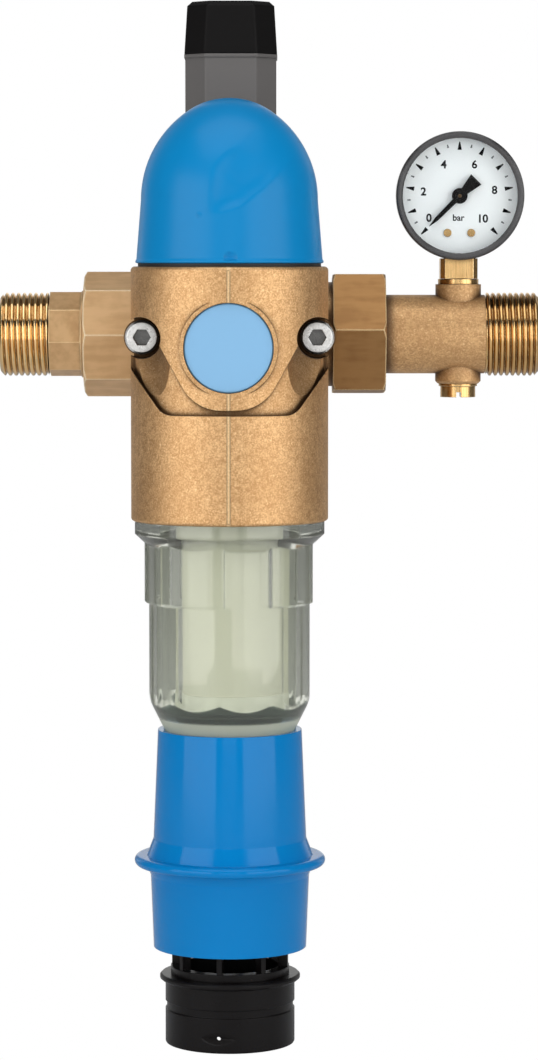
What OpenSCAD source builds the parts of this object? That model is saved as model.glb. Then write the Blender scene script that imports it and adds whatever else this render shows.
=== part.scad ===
// Self-cleaning water filter with pressure reducer, pull-down backwash and outlet gauge.
// Millimetres. X is the flow direction, Y points away from the viewer, Z is up.
// The origin is the centre of the drain spigot's lower face, on the axis of the filter body.

/* [Pipe connection] */
// Outside diameter of the two pipe threads
pipe_thread_d = 33.2; // [30:0.1:42]
// Length of the inlet thread
inlet_thread_len = 19.6; // [14:0.1:26]
// Length of the outlet thread
outlet_thread_len = 21.4; // [14:0.1:26]
// Bevel at the open end of a pipe thread
thread_bevel = 1.4; // [0.5:0.1:2]
// Width of the run-out groove behind the inlet thread
thread_relief = 0.8; // [0.4:0.1:3]
// Depth of the pipe threads
thread_depth = 1.5; // [1:0.1:2]
// Diameter of the waterway through the pipe pieces
pipe_bore_d = 24; // [18:0.5:26]
// Distance from the body axis back to the pipe axis
pipe_setback = 63.5; // [62:0.5:80]
// Height of the pipe axis above the foot of the body
pipe_height = 70.1; // [66:0.1:72]
// Outside diameter of the union threads
union_thread_d = 41.6; // [40:0.1:43]
// Distance from the middle to the inlet union's sealing face
inlet_stub = 49.2; // [46:0.1:60]
// Distance from the middle to the outlet union's sealing face
outlet_stub = 52.2; // [46:0.1:60]
// Width across flats of the eight-sided inlet nut
inlet_nut_af = 46; // [45:0.5:52]
// Length of the inlet nut
inlet_nut_len = 21.4; // [18:0.1:24]
// Width across flats of the six-sided outlet nut
outlet_nut_af = 46; // [45:0.5:52]
// Length of the outlet nut
outlet_nut_len = 21; // [18:0.1:24]
// Angle of the outlet nut on its thread
outlet_nut_turn = 25.3; // [0:0.1:60]
// Thickness of the nut's lip behind the tailpiece collar
nut_lip = 3.2; // [2:0.1:5]
// Bevel on the nut's corners
nut_bevel = 1.6; // [0.5:0.1:3]
// Thickness of the tailpiece collar held by the nut
collar_t = 4; // [2:0.1:6]
// Thickness of the union gaskets
gasket_t = 2; // [1:0.1:3]
// Width across flats of the eight-sided spanner section
spanner_af = 31.6; // [30:0.1:34]
// Length of the spanner section
spanner_len = 12.8; // [8:0.1:20]
// Angle of the spanner section
spanner_turn = 10; // [0:1:45]
// Diameter of the plain outlet tailpiece
outlet_tail_d = 31.4; // [28:0.1:33]
// Length of the plain outlet tailpiece
outlet_tail_len = 39.8; // [36:0.1:60]

/* [Body casting] */
// Outside diameter of the filter body
body_d = 75.6; // [72:0.1:90]
// Height of the filter body
body_h = 97.2; // [95:0.1:120]
// Rounding of the body's upper edge
body_top_round = 1.6; // [0.5:0.1:4]
// Rounding of the body's lower edge
body_low_round = 1.2; // [0.5:0.1:4]
// Distance from the body axis to the flange face at the back
flange_y = 28; // [27:0.1:30]
// Radius of the round part of the flange
flange_r = 22; // [20:0.1:23]
// Distance of a flange screw from the middle
bolt_x = 33.6; // [32:0.1:36]
// Nominal diameter of the flange screws
bolt_d = 8; // [6:1:10]
// Head diameter of the flange screws
bolt_head_d = 13; // [10:0.5:16]
// Head height of the flange screws
bolt_head_h = 8; // [6:0.5:10]
// Width across flats of the screw's socket
bolt_socket_af = 6; // [4:0.5:8]
// Radius of the slot that clears a screw head
bolt_slot_r = 8; // [7:0.1:9]
// Position of the seat under a screw head, behind the body axis
bolt_seat_y = 8; // [4:0.5:12]
// Radius of the lug around a screw
lug_r = 7.2; // [6:0.1:9]
// Depth of the shallow recess round the badge pad
recess_depth = 1.8; // [0.5:0.1:2]
// Radius of the badge
badge_r = 16.8; // [12:0.1:18]
// Thickness of the badge
badge_t = 1.6; // [1:0.1:3]
// Height of the badge centre above the foot of the body
badge_height = 66.8; // [55:0.1:75]
// Width of the casting's parting ridge
ridge_w = 0.9; // [0.4:0.1:2]
// Height of the casting's parting ridge
ridge_h = 0.3; // [0.1:0.1:1]

/* [Hood] */
// Height of the hood
hood_h = 62.8; // [50:0.1:80]
// Radius of the hood at its foot
hood_r = 35.7; // [32:0.1:40]
// Wall thickness of the hood
hood_wall = 2.2; // [1.5:0.1:4]
// Height of the hood's sloping lower part
hood_skirt = 24.1; // [10:0.1:40]
// Radius of the hood's dome arc
hood_arc = 40.8; // [34:0.1:50]
// Radius of the hood's crown
crown_r = 28; // [10:1:30]
// Thickness of the dark seat ring
seat_ring_t = 1.2; // [0.8:0.1:3]
// Radius of the dark seat ring
seat_ring_r = 35; // [30:0.1:36]

/* [Filter bowl] */
// Length of the bowl from its floor to the body
bowl_len = 86; // [75:0.1:120]
// Outside radius of the bowl
bowl_r = 31; // [30:0.1:32]
// Distance from the axis to the bowl's nine flats
bowl_flat = 30.4; // [29:0.1:31]
// Outside radius of the bowl's grip collar
grip_r = 32.7; // [32:0.1:34]
// Distance from the axis to the grip collar's nine flats
grip_flat = 31.4; // [31:0.1:33]
// Height of the grip collar
grip_h = 22.4; // [15:0.1:30]
// Half width of a gap in the grip collar
grip_gap = 8.5; // [6:0.1:10]
// Radius of the bowl's rim under the body
rim_r = 36.4; // [34:0.1:37]
// Height of the bowl's rim
rim_h = 5; // [3:0.1:8]
// Inside radius of the bowl
bowl_in_r = 27; // [25:0.1:28]
// Length of the bowl's thread in the body
bowl_thread_len = 14; // [10:0.1:18]
// Radius of the bowl's thread
bowl_thread_r = 32; // [31:0.1:33]
// Thickness of the bowl's floor
bowl_floor = 5; // [4:0.1:8]
// Angle of the nine corners
bowl_turn = -97; // [-110:1:-70]
// Rounding where the bowl turns in to its floor
bowl_round = 14; // [8:0.5:20]

/* [Filter element] */
// Outside radius of the filter mesh
mesh_r = 20.5; // [18:0.1:22]
// Thickness of the filter mesh
mesh_t = 0.4; // [0.3:0.1:1]
// Number of ribs that carry the mesh
cage_ribs = 8; // [6:1:10]
// Radius of the filter's neck in the body
filter_neck_r = 13.9; // [12:0.1:15]
// Radius of the wash rotor's vanes
rotor_r = 15; // [12:0.1:16]
// Radius of the rotor's axle
axle_r = 1.5; // [1:0.1:2]

/* [Backwash and drain] */
// Outside diameter of the drain spigot
spigot_d = 50; // [40:0.5:60]
// Length of the drain spigot below its flange
spigot_len = 24.6; // [20:0.1:40]
// Wall thickness of the drain spigot
spigot_wall = 2.4; // [2:0.1:3]
// Radius of the drain flange
drain_flange_r = 27.1; // [26:0.1:27.2]
// Thickness of the drain flange
drain_flange_t = 2.4; // [2:0.1:4]
// Radius of the air-gap cage
cage_r = 22.9; // [22:0.1:23.5]
// Number of ribs of the air-gap cage
air_ribs = 8; // [6:2:10]
// Thickness of an air-gap rib
air_rib_t = 2; // [1.5:0.1:3]
// Angle of the first air-gap rib
air_rib_turn = -100; // [-120:1:-70]
// Travel of the backwash sleeve
sleeve_travel = 10; // [6:0.5:11]
// Length of the backwash sleeve
sleeve_len = 84.4; // [80:0.1:100]
// Radius of the sleeve at its foot
sleeve_low_r = 29.5; // [29.4:0.1:32]
// Radius of the sleeve under the finger ring
sleeve_mid_r = 30.6; // [29:0.1:34]
// Radius of the sleeve at its top
sleeve_top_r = 27.7; // [27.5:0.1:30]
// Wall thickness of the sleeve
sleeve_wall = 2.2; // [1.8:0.1:2.3]
// Radius of the finger ring
ring_r = 36.8; // [34:0.1:42]
// Thickness of the finger ring
ring_t = 4; // [3:0.1:6]
// Height of the finger ring above the sleeve's foot
ring_rise = 33.7; // [25:0.1:45]
// Radius of the guide collar that carries the sleeve
guide_r = 16; // [15.5:0.1:18]
// Radius of the bowl's drain neck
neck_r = 12; // [11:0.1:13]
// Radius of the drain opening
drain_bore_r = 8; // [6:0.1:9]
// Length of the drain neck
neck_len = 12; // [10:0.1:16]
// Radius of the drain valve's stem
stem_r = 3; // [2.5:0.1:4]
// Radius of the cross pin
cross_pin_r = 2; // [1.5:0.1:2.5]

/* [Pressure reducer] */
// Width of the spring housing across its flats
housing_w = 36; // [34:0.1:40]
// Corner bevel of the spring housing
housing_bevel = 8; // [4:0.1:10]
// Height of the housing's top above the pipe axis
housing_rise = 110.5; // [100:0.1:130]
// Radius of the housing's thread in the module
housing_thread_r = 16; // [15.5:0.1:16.4]
// Height of the protective cap
cap_h = 20.8; // [15:0.1:30]
// Width of the cap at its foot
cap_low_w = 36.6; // [34:0.1:42]
// Width of the cap at its top
cap_top_w = 34.4; // [32:0.1:40]
// Pull-off travel of the cap
cap_travel = 24; // [20:1:30]
// Lift of the reducer valve
valve_lift = 3.4; // [2:0.1:4]
// Travel of the spring plate each way
plate_travel = 4; // [2:0.5:5]
// Radius of the adjusting spindle
spindle_r = 4; // [3:0.1:5]
// Wire radius of the reducer spring
reducer_wire_r = 1.6; // [1:0.1:2]

/* [Gauge and test plug] */
// Distance of the gauge from the middle
gauge_x = 90.7; // [88:0.1:96]
// Height of the gauge centre above the pipe axis
gauge_rise = 54.9; // [52:0.1:70]
// Radius of the gauge's bezel
gauge_r = 25.4; // [22:0.1:30]
// Depth of the gauge from bezel to back
gauge_depth = 26; // [24:0.1:34]
// Radius of the visible dial
dial_r = 22.2; // [18:0.1:24]
// Width of the stem's square
gauge_square = 14.8; // [12:0.1:17]
// Radius of the gauge thread
gauge_thread_r = 6.6; // [5:0.1:7]
// Radius of the two bosses on the outlet tailpiece
boss_r = 9.1; // [8:0.1:11]
// Height of the upper boss above the pipe axis
boss_up = 19.9; // [18:0.1:25]
// Depth of the lower boss below the pipe axis
boss_down = 19.7; // [18:0.1:25]
// Length of the test plug's head
plug_head = 4.4; // [3:0.1:7]
// Travel of the check valve
check_travel = 5; // [3:0.5:6]

/* [Fits] */
// Radial play of screwed joints
thread_play = 0.1; // [0.05:0.05:0.2]
// Radial play of sliding guides
slide_play = 0.1; // [0.05:0.05:0.2]
// Radial play of turning shafts
pin_play = 0.05; // [0.02:0.01:0.1]
// Gap between parts that close on each other
seat_gap = 0.1; // [0.05:0.05:0.3]

/* [Hidden] */
$fn = 96;
over = 1;
bronze = [0.76, 0.58, 0.36];
brass = [0.74, 0.58, 0.32];
steel = [0.75, 0.76, 0.78];
blue = [0.05, 0.48, 0.76];
pale_blue = [0.53, 0.74, 0.91];
black = [0.12, 0.11, 0.11];
grey = [0.40, 0.38, 0.37];
white = [0.93, 0.94, 0.94];
clear = [0.80, 0.85, 0.80, 0.45];
rubber = [0.08, 0.08, 0.08];
body_r = body_d / 2;
z_cage = spigot_len + drain_flange_t;
stop_gap = 0.5;
z_sleeve = z_cage + sleeve_travel + stop_gap;
z_sleeve_top = z_sleeve + sleeve_len;
bowl_dip = 5.4;
z_bowl = z_sleeve_top - bowl_dip;
z_body = z_bowl + bowl_len;
z_body_top = z_body + body_h;
z_pipe = z_body + pipe_height;
z_hood = z_body_top + seat_ring_t;
core_r = 18.4;
core_clear = 1;
pipe_y = max(pipe_setback, body_r + core_r + core_clear);
pipe_bore_r = pipe_bore_d / 2;
pipe_thread_r = pipe_thread_d / 2;
union_r = union_thread_d / 2;
spanner_sides = 8;
spanner_corner = spanner_af / 2 / cos(180 / spanner_sides);
shank_r = max(pipe_thread_r, spanner_corner) + 0.2;
passage_play = 0.3;
nut_passage_r = shank_r + passage_play;
collar_play = 0.6;
collar_r = union_r - collar_play;
inlet_end = inlet_stub + gasket_t + collar_t + nut_lip;
outlet_end = outlet_stub + gasket_t + collar_t + nut_lip;
spanner_gap = 1.2;
inlet_tip = inlet_end + spanner_gap + spanner_len + inlet_thread_len;
outlet_tip = outlet_end + outlet_tail_len + outlet_thread_len;
flange_gasket_t = 1.5;
module_y = flange_y + flange_gasket_t;
module_flange_t = 8.5;
port_x = 20;
inlet_port_r = 5;
inlet_port_rise = 4;
filtered_port_r = 6;
filtered_port_drop = 13;
raw_h = 11.5;
seal_t = 1;
z_bowl_top = z_body + bowl_thread_len;
z_raw = z_bowl_top + seal_t;
z_filter_seat = z_raw + raw_h;
filter_seat_h = 6.5;
riser_r = 12;
plug_thread_r = 13;
plug_depth = 12;
raw_r = 28.5;
neck_foot = z_bowl - neck_len;

// Rounded bar standing on its axis, as half a profile
module bar_profile(radius, low, high, low_round, high_round) {
    translate([0, low + low_round])
        square([radius, high - low - low_round - high_round]);
    translate([0, low])
        square([radius - low_round, low_round]);
    translate([0, high - high_round])
        square([radius - high_round, high_round]);
    translate([radius - low_round, low + low_round])
        circle(r = low_round);
    translate([radius - high_round, high - high_round])
        circle(r = high_round);
}

// Upright ring between two heights
module ring_z(outer, inner, low, high) {
    translate([0, 0, low])
        difference() {
            cylinder(r = outer, h = high - low);
            translate([0, 0, -over])
                cylinder(r = inner, h = high - low + 2 * over);
        }
}

// Upright rod between two heights
module rod_z(radius, low, high) {
    translate([0, 0, low])
        cylinder(r = radius, h = high - low);
}

// Rod along the pipe axis between two stations
module rod_x(radius, from, to) {
    translate([from, pipe_y, z_pipe])
        rotate([0, 90, 0])
            cylinder(r = radius, h = to - from);
}

// Rod running front to back at a given place
module rod_y(x, z, radius, from, to) {
    translate([x, from, z])
        rotate([-90, 0, 0])
            cylinder(r = radius, h = to - from);
}

// Many-sided bar along the pipe axis with bevelled corners
module nut_bar(sides, across, turn, from, to) {
    corner = across / 2 / cos(180 / sides);
    intersection() {
        translate([from, pipe_y, z_pipe])
            rotate([0, 90, 0])
                rotate([0, 0, turn])
                    cylinder(r = corner, h = to - from, $fn = sides);
        translate([from, pipe_y, z_pipe])
            rotate([0, 90, 0])
                rotate_extrude()
                    polygon([
                        [0, 0],
                        [corner - nut_bevel, 0],
                        [corner + nut_bevel, 1.2 * nut_bevel],
                        [corner + nut_bevel, to - from - 1.2 * nut_bevel],
                        [corner - nut_bevel, to - from],
                        [0, to - from]
                    ]);
    }
}

// Flat-bottomed outline with sloping sides and rounded lower corners
module keel_outline(half_w, low, slope, corner, high) {
    bend = half_w - corner * tan(slope / 2);
    top_w = half_w + (high - low) / tan(slope);
    steps = 8;
    left = [
        for (i = [steps : -1 : 0])
            [-bend - corner * sin(slope * i / steps), low + corner - corner * cos(slope * i / steps)]
    ];
    right = [
        for (i = [0 : steps])
            [bend + corner * sin(slope * i / steps), low + corner - corner * cos(slope * i / steps)]
    ];
    polygon(concat([[-top_w, high]], left, right, [[top_w, high]]));
}

// Wire coil standing on the plane it starts from
module coil(mean_r, wire_r, length, turns) {
    steps = 20;
    sides = 6;
    count = turns * steps;
    rise = length - 2 * wire_r;
    points = [
        for (i = [0 : count])
            for (j = [0 : sides - 1])
                [
                    (mean_r + wire_r * cos(360 * j / sides)) * cos(360 * i / steps),
                    (mean_r + wire_r * cos(360 * j / sides)) * sin(360 * i / steps),
                    wire_r + rise * i / count + wire_r * sin(360 * j / sides)
                ]
    ];
    walls = [
        for (i = [0 : count - 1])
            for (j = [0 : sides - 1])
                for (half = [0, 1])
                    half == 0
                        ? [i * sides + j, (i + 1) * sides + j, i * sides + (j + 1) % sides]
                        : [(i + 1) * sides + j, (i + 1) * sides + (j + 1) % sides, i * sides + (j + 1) % sides]
    ];
    first = [for (j = [0 : sides - 1]) j];
    last = [for (j = [sides - 1 : -1 : 0]) count * sides + j];
    polyhedron(points = points, faces = concat(walls, [first], [last]));
}

// Outline of the two-screw flange, seen from the front
module flange_outline() {
    circle(r = flange_r);
    square([2 * bolt_x, 2 * lug_r], center = true);
    for (side = [-1, 1])
        translate([side * bolt_x, 0])
            circle(r = lug_r);
}

// Flange plate between two distances behind the body axis
module flange_plate(from, to) {
    translate([0, to, z_pipe])
        rotate([90, 0, 0])
            linear_extrude(height = to - from)
                flange_outline();
}

// Area between the badge pad and the outer recess line
module recess_outline() {
    recess_half = 24.9;
    recess_low = z_body + 41.4;
    recess_slope = 53.1;
    recess_corner = 7;
    pad_half = 12.7;
    pad_low = z_body + 43.5;
    pad_slope = 60.9;
    pad_corner = 17;
    difference() {
        keel_outline(recess_half, recess_low, recess_slope, recess_corner, z_pipe);
        keel_outline(pad_half, pad_low, pad_slope, pad_corner, z_pipe + over);
    }
}

// Front-to-back prism over the recess area
module recess_prism() {
    rotate([90, 0, 0])
        linear_extrude(height = 2 * body_r)
            recess_outline();
}

// Shallow recess round the badge pad
module recess_cut() {
    intersection() {
        recess_prism();
        ring_z(2 * body_r, body_r - recess_depth, z_body, z_body_top);
    }
}

// Deeper scoop that runs down and forward from a screw head
module scoop_cut(side) {
    scoop_r = 18;
    scoop_x = 40;
    scoop_y = -30;
    scoop_drop = 8.6;
    scoop_lean = -35;
    intersection() {
        recess_prism();
        translate([side * scoop_x, scoop_y, z_pipe - scoop_drop])
            rotate([scoop_lean, 0, 0])
                cylinder(r = scoop_r, h = 5 * scoop_r, center = true);
    }
}

badge_set = 0.6;
badge_depth = 2.4;
badge_rim = 1.6;
badge_face = body_r - badge_set;
badge_floor = badge_face - badge_depth;
port_dip = 3;

module filter_body() {
    color(bronze)
    difference() {
        union() {
            rotate_extrude()
                bar_profile(body_r, z_body, z_body_top, body_low_round, body_top_round);
            for (side = [-1, 1])
                rod_y(side * bolt_x, z_pipe, lug_r, bolt_seat_y, flange_y);
            rod_y(0, z_body + badge_height, badge_r + badge_rim, -badge_face, 0);
            translate([-ridge_w / 2, -body_r - ridge_h, z_body + body_low_round])
                cube([ridge_w, body_r / 2, body_h - body_low_round - body_top_round]);
        }
        translate([-body_d, flange_y, z_pipe - flange_r - over])
            cube([2 * body_d, body_d, 2 * flange_r + 2 * over]);
        recess_cut();
        for (side = [-1, 1])
            scoop_cut(side);
        for (side = [-1, 1]) {
            rod_y(side * bolt_x, z_pipe, bolt_slot_r, -body_d, bolt_seat_y);
            rod_y(side * bolt_x, z_pipe, bolt_d / 2 + thread_play, 0, body_d);
        }
        rod_y(0, z_body + badge_height, badge_r + thread_play, -body_d, -badge_floor);
        rod_z(bowl_thread_r + thread_play, z_body - over, z_raw);
        rod_z(raw_r, z_raw - over, z_filter_seat);
        rod_z(filter_neck_r + thread_play, z_filter_seat - over, z_filter_seat + filter_seat_h);
        rod_z(riser_r, z_filter_seat, z_body_top - plug_depth + over);
        rod_z(plug_thread_r + thread_play, z_body_top - plug_depth, z_body_top + over);
        rod_y(0, z_pipe - filtered_port_drop, filtered_port_r, 0, body_d);
        rod_y(-port_x, z_pipe + inlet_port_rise, inlet_port_r, port_x, body_d);
        translate([-port_x, port_x, 0])
            rod_z(inlet_port_r, z_filter_seat - port_dip, z_pipe + inlet_port_rise);
    }
}

module badge_disc() {
    bevel = 0.5;
    color(pale_blue)
        translate([0, -badge_floor, z_body + badge_height])
            rotate([90, 0, 0])
                rotate_extrude()
                    polygon([
                        [0, 0],
                        [badge_r, 0],
                        [badge_r, badge_t - bevel],
                        [badge_r - bevel, badge_t],
                        [0, badge_t]
                    ]);
}

plug_head_r = 16;
plug_head_h = 5;
module body_top_plug() {
    socket_af = 12;
    color(brass)
    difference() {
        union() {
            rod_z(plug_thread_r, z_body_top - plug_depth + over, z_body_top + seal_t + over);
            rod_z(plug_head_r, z_body_top + seal_t, z_body_top + seal_t + plug_head_h);
        }
        translate([0, 0, z_body_top + seal_t])
            cylinder(r = socket_af / 2 / cos(30), h = plug_head_h + over, $fn = 6);
    }
}

module top_plug_seal() {
    color(rubber)
        ring_z(plug_head_r - seal_t / 2, plug_thread_r + thread_play, z_body_top, z_body_top + seal_t);
}

module hood_seat_ring() {
    ring_w = 6;
    color(rubber)
        ring_z(seat_ring_r, seat_ring_r - ring_w, z_body_top, z_hood);
}

// Half profile of the hood, taken in by a wall thickness
module hood_profile(inset) {
    shoulder = z_hood + hood_skirt;
    arc_back = sqrt(pow(hood_arc - crown_r, 2) - pow(hood_h - hood_skirt - crown_r, 2));
    crown_z = shoulder + hood_h - hood_skirt - crown_r;
    meet_x = arc_back * (crown_r - inset) / (hood_arc - crown_r);
    meet_z = crown_z + (crown_z - shoulder) * (crown_r - inset) / (hood_arc - crown_r);
    polygon([
        [0, z_hood],
        [hood_r - inset, z_hood],
        [hood_arc - arc_back - inset, shoulder],
        [0, shoulder]
    ]);
    intersection() {
        translate([-arc_back, shoulder])
            circle(r = hood_arc - inset);
        translate([0, shoulder])
            square([2 * hood_r, meet_z - shoulder]);
    }
    intersection() {
        translate([0, crown_z])
            circle(r = crown_r - inset);
        translate([0, meet_z])
            square([meet_x, crown_r]);
    }
}

module hood() {
    color(blue)
        rotate_extrude()
            difference() {
                hood_profile(0);
                hood_profile(hood_wall);
            }
}

core_drop = 22;
core_rise = 32;
core_floor = 3;
seat_drop = 6;
seat_h = 4;
seat_bore_r = 9;
membrane_rise = 16;
membrane_t = 1.5;
core_low = z_pipe - core_drop;
core_top = z_pipe + core_rise;
seat_low = z_pipe - seat_drop;
seat_top = seat_low + seat_h;
membrane_z = z_pipe + membrane_rise;
tube_wall = 4.5;
tube_r = pipe_bore_r + tube_wall;
lower_room_r = 11;
upper_room_r = 12.5;
stub_from = 34;
inlet_bore_end = 15;
outlet_bore_end = 16;
outlet_port_rise = 5;

module connection_module() {
    port_wall = 3;
    neck_in = 2;
    color(bronze)
    difference() {
        union() {
            rod_x(tube_r, -inlet_stub + over, outlet_stub - over);
            rod_x(union_r, -inlet_stub, -stub_from);
            rod_x(union_r, stub_from, outlet_stub);
            translate([0, pipe_y, 0])
                rod_z(core_r, core_low, core_top);
            flange_plate(module_y, module_y + module_flange_t);
            rod_y(0, z_pipe, flange_r - neck_in, module_y, pipe_y);
            rod_y(-port_x, z_pipe + inlet_port_rise, inlet_port_r + port_wall, module_y, pipe_y);
        }
        rod_x(pipe_bore_r, -inlet_stub - over, -inlet_bore_end);
        rod_x(pipe_bore_r, outlet_bore_end, outlet_stub + over);
        translate([0, 0, outlet_port_rise])
            rod_x(filtered_port_r, 0, outlet_bore_end + over);
        translate([0, pipe_y, 0]) {
            rod_z(lower_room_r, core_low + core_floor, seat_low);
            rod_z(seat_bore_r, seat_low - over, seat_top + over);
            rod_z(upper_room_r, seat_top, membrane_z + over);
            rod_z(housing_thread_r + thread_play, membrane_z, core_top + over);
        }
        rod_y(0, z_pipe - filtered_port_drop, filtered_port_r, 0, pipe_y);
        rod_y(-port_x, z_pipe + inlet_port_rise, inlet_port_r, 0, pipe_y);
        for (side = [-1, 1])
            rod_y(side * bolt_x, z_pipe, bolt_d / 2 + thread_play, 0, module_y + module_flange_t + over);
    }
}

module flange_gasket() {
    color(rubber)
    difference() {
        flange_plate(flange_y, module_y);
        rod_y(0, z_pipe - filtered_port_drop, filtered_port_r, 0, pipe_y);
        rod_y(-port_x, z_pipe + inlet_port_rise, inlet_port_r, 0, pipe_y);
        for (side = [-1, 1])
            rod_y(side * bolt_x, z_pipe, bolt_d / 2 + thread_play, 0, pipe_y);
    }
}

module flange_bolts() {
    socket_depth = 5;
    head_bevel = 0.8;
    color(steel)
    for (side = [-1, 1])
        translate([side * bolt_x, bolt_seat_y, z_pipe])
            difference() {
                union() {
                    rotate([90, 0, 0])
                        rotate_extrude()
                            polygon([
                                [0, 0],
                                [bolt_head_d / 2, 0],
                                [bolt_head_d / 2, bolt_head_h - head_bevel],
                                [bolt_head_d / 2 - head_bevel, bolt_head_h],
                                [0, bolt_head_h]
                            ]);
                    rotate([-90, 0, 0])
                        cylinder(r = bolt_d / 2, h = module_y + module_flange_t - bolt_seat_y - over);
                }
                translate([0, -bolt_head_h - over, 0])
                    rotate([-90, 0, 0])
                        cylinder(r = bolt_socket_af / 2 / cos(30), h = socket_depth + over, $fn = 6);
            }
}

module inlet_union_nut() {
    color(brass)
    difference() {
        nut_bar(8, inlet_nut_af, 0, -inlet_end, inlet_nut_len - inlet_end);
        rod_x(union_r + thread_play, nut_lip - inlet_end, 0);
        rod_x(nut_passage_r, -inlet_end - over, 0);
    }
}

module outlet_union_nut() {
    color(brass)
    difference() {
        nut_bar(6, outlet_nut_af, outlet_nut_turn, outlet_end - outlet_nut_len, outlet_end);
        rod_x(union_r + thread_play, 0, outlet_end - nut_lip);
        rod_x(nut_passage_r, 0, outlet_end + over);
    }
}

module inlet_tailpiece() {
    spanner_from = -inlet_end - spanner_gap - spanner_len;
    color(brass)
    difference() {
        union() {
            rod_x(collar_r, nut_lip - inlet_end, nut_lip + collar_t - inlet_end);
            rod_x(shank_r, -inlet_end - spanner_gap, nut_lip + over - inlet_end);
            translate([spanner_from, pipe_y, z_pipe])
                rotate([0, 90, 0])
                    rotate([0, 0, spanner_turn])
                        cylinder(r = spanner_corner, h = spanner_len, $fn = spanner_sides);
            rod_x(pipe_thread_r, thread_bevel - inlet_tip, spanner_from - thread_relief);
            rod_x(pipe_thread_r - thread_depth, thread_bevel - inlet_tip, spanner_from + over);
            translate([-inlet_tip, pipe_y, z_pipe])
                rotate([0, 90, 0])
                    cylinder(r1 = pipe_thread_r - thread_bevel, r2 = pipe_thread_r, h = thread_bevel);
        }
        rod_x(pipe_bore_r, -inlet_tip - over, 0);
    }
}

module inlet_gasket() {
    color(rubber)
    difference() {
        rod_x(collar_r, -inlet_stub - gasket_t, -inlet_stub);
        rod_x(pipe_bore_r + over, -inlet_stub - gasket_t - over, 0);
    }
}

module outlet_gasket() {
    color(rubber)
    difference() {
        rod_x(collar_r, outlet_stub, outlet_stub + gasket_t);
        rod_x(pipe_bore_r + over, 0, outlet_stub + gasket_t + over);
    }
}

module outlet_tailpiece() {
    tail_r = outlet_tail_d / 2;
    thread_from = outlet_end + outlet_tail_len;
    boss_bevel = 1;
    color(brass)
    difference() {
        union() {
            rod_x(collar_r, outlet_end - nut_lip - collar_t, outlet_end - nut_lip);
            rod_x(shank_r, outlet_end - nut_lip - over, outlet_end);
            rod_x(tail_r, outlet_end - over, thread_from + over);
            rod_x(pipe_thread_r, thread_from, outlet_tip - thread_bevel);
            translate([outlet_tip - thread_bevel, pipe_y, z_pipe])
                rotate([0, 90, 0])
                    cylinder(r1 = pipe_thread_r, r2 = pipe_thread_r - thread_bevel, h = thread_bevel);
            translate([gauge_x, pipe_y, 0]) {
                rod_z(boss_r, z_pipe, z_pipe + boss_up);
                rod_z(boss_r, z_pipe - boss_down + boss_bevel, z_pipe);
                translate([0, 0, z_pipe - boss_down])
                    cylinder(r1 = boss_r - boss_bevel, r2 = boss_r, h = boss_bevel);
            }
        }
        rod_x(pipe_bore_r, 0, outlet_tip + over);
        translate([gauge_x, pipe_y, 0])
            rod_z(gauge_thread_r + thread_play, z_pipe - boss_down - over, z_pipe + boss_up + over);
    }
}

check_inset = 5.6;
check_end = outlet_tip - check_inset;
check_len = 18;
check_start = check_end - check_len;
check_seat = 3;
check_disc = 2.5;
check_hub = 4;
check_stem_r = 1.5;
check_wall = 1.9;
check_pass = 1.2;
check_lap = 1.3;
check_out_r = pipe_bore_r - thread_play;
check_in_r = check_out_r - check_wall;
check_disc_r = check_in_r - check_pass;

module check_valve_housing() {
    seat_r = check_disc_r - check_lap;
    hub_r = 3.5;
    spoke = 2;
    spoke_in = 0.6;
    color(white)
    difference() {
        union() {
            difference() {
                rod_x(check_out_r, check_start, check_end);
                rod_x(check_in_r, check_start + check_seat, check_end + over);
                rod_x(seat_r, check_start - over, check_end);
            }
            rod_x(hub_r, check_end - check_hub, check_end);
            for (turn = [0, 120, 240])
                translate([check_end - check_hub + spoke_in, pipe_y, z_pipe])
                    rotate([turn, 0, 0])
                        translate([0, -spoke / 2, hub_r - spoke_in])
                            cube([check_hub - 2 * spoke_in, spoke, check_in_r + check_wall / 2 - hub_r + spoke_in]);
        }
        rod_x(check_stem_r + pin_play, check_start, check_end + over);
    }
}

module check_valve_poppet() {
    from = check_start + check_seat + seat_gap;
    color(black) {
        rod_x(check_disc_r, from, from + check_disc);
        rod_x(check_stem_r, from + check_disc / 2, check_end);
    }
}

module check_valve_spring() {
    spring_in = 3.4;
    mean_r = check_disc_r - spring_in;
    wire_r = 0.45;
    turns = 3;
    from = check_start + check_seat + seat_gap + check_disc;
    color(steel)
        translate([from, pipe_y, z_pipe])
            rotate([0, 90, 0])
                coil(mean_r, wire_r, check_end - check_hub - from, turns);
}

module test_plug() {
    head_r = 7;
    slot_w = 1.8;
    slot_depth = 2;
    shank = 7;
    top = z_pipe - boss_down - seal_t;
    color(brass)
        translate([gauge_x, pipe_y, 0])
            difference() {
                union() {
                    rod_z(head_r, top - plug_head, top);
                    rod_z(gauge_thread_r, top - over, top + shank);
                }
                translate([-slot_w / 2, -2 * head_r, top - plug_head - over])
                    cube([slot_w, 4 * head_r, slot_depth + over]);
            }
}

module test_plug_seal() {
    seal_in = 1.4;
    color(steel)
        translate([gauge_x, pipe_y, 0])
            ring_z(boss_r - seal_in, gauge_thread_r + thread_play, z_pipe - boss_down - seal_t, z_pipe - boss_down);
}

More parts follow.
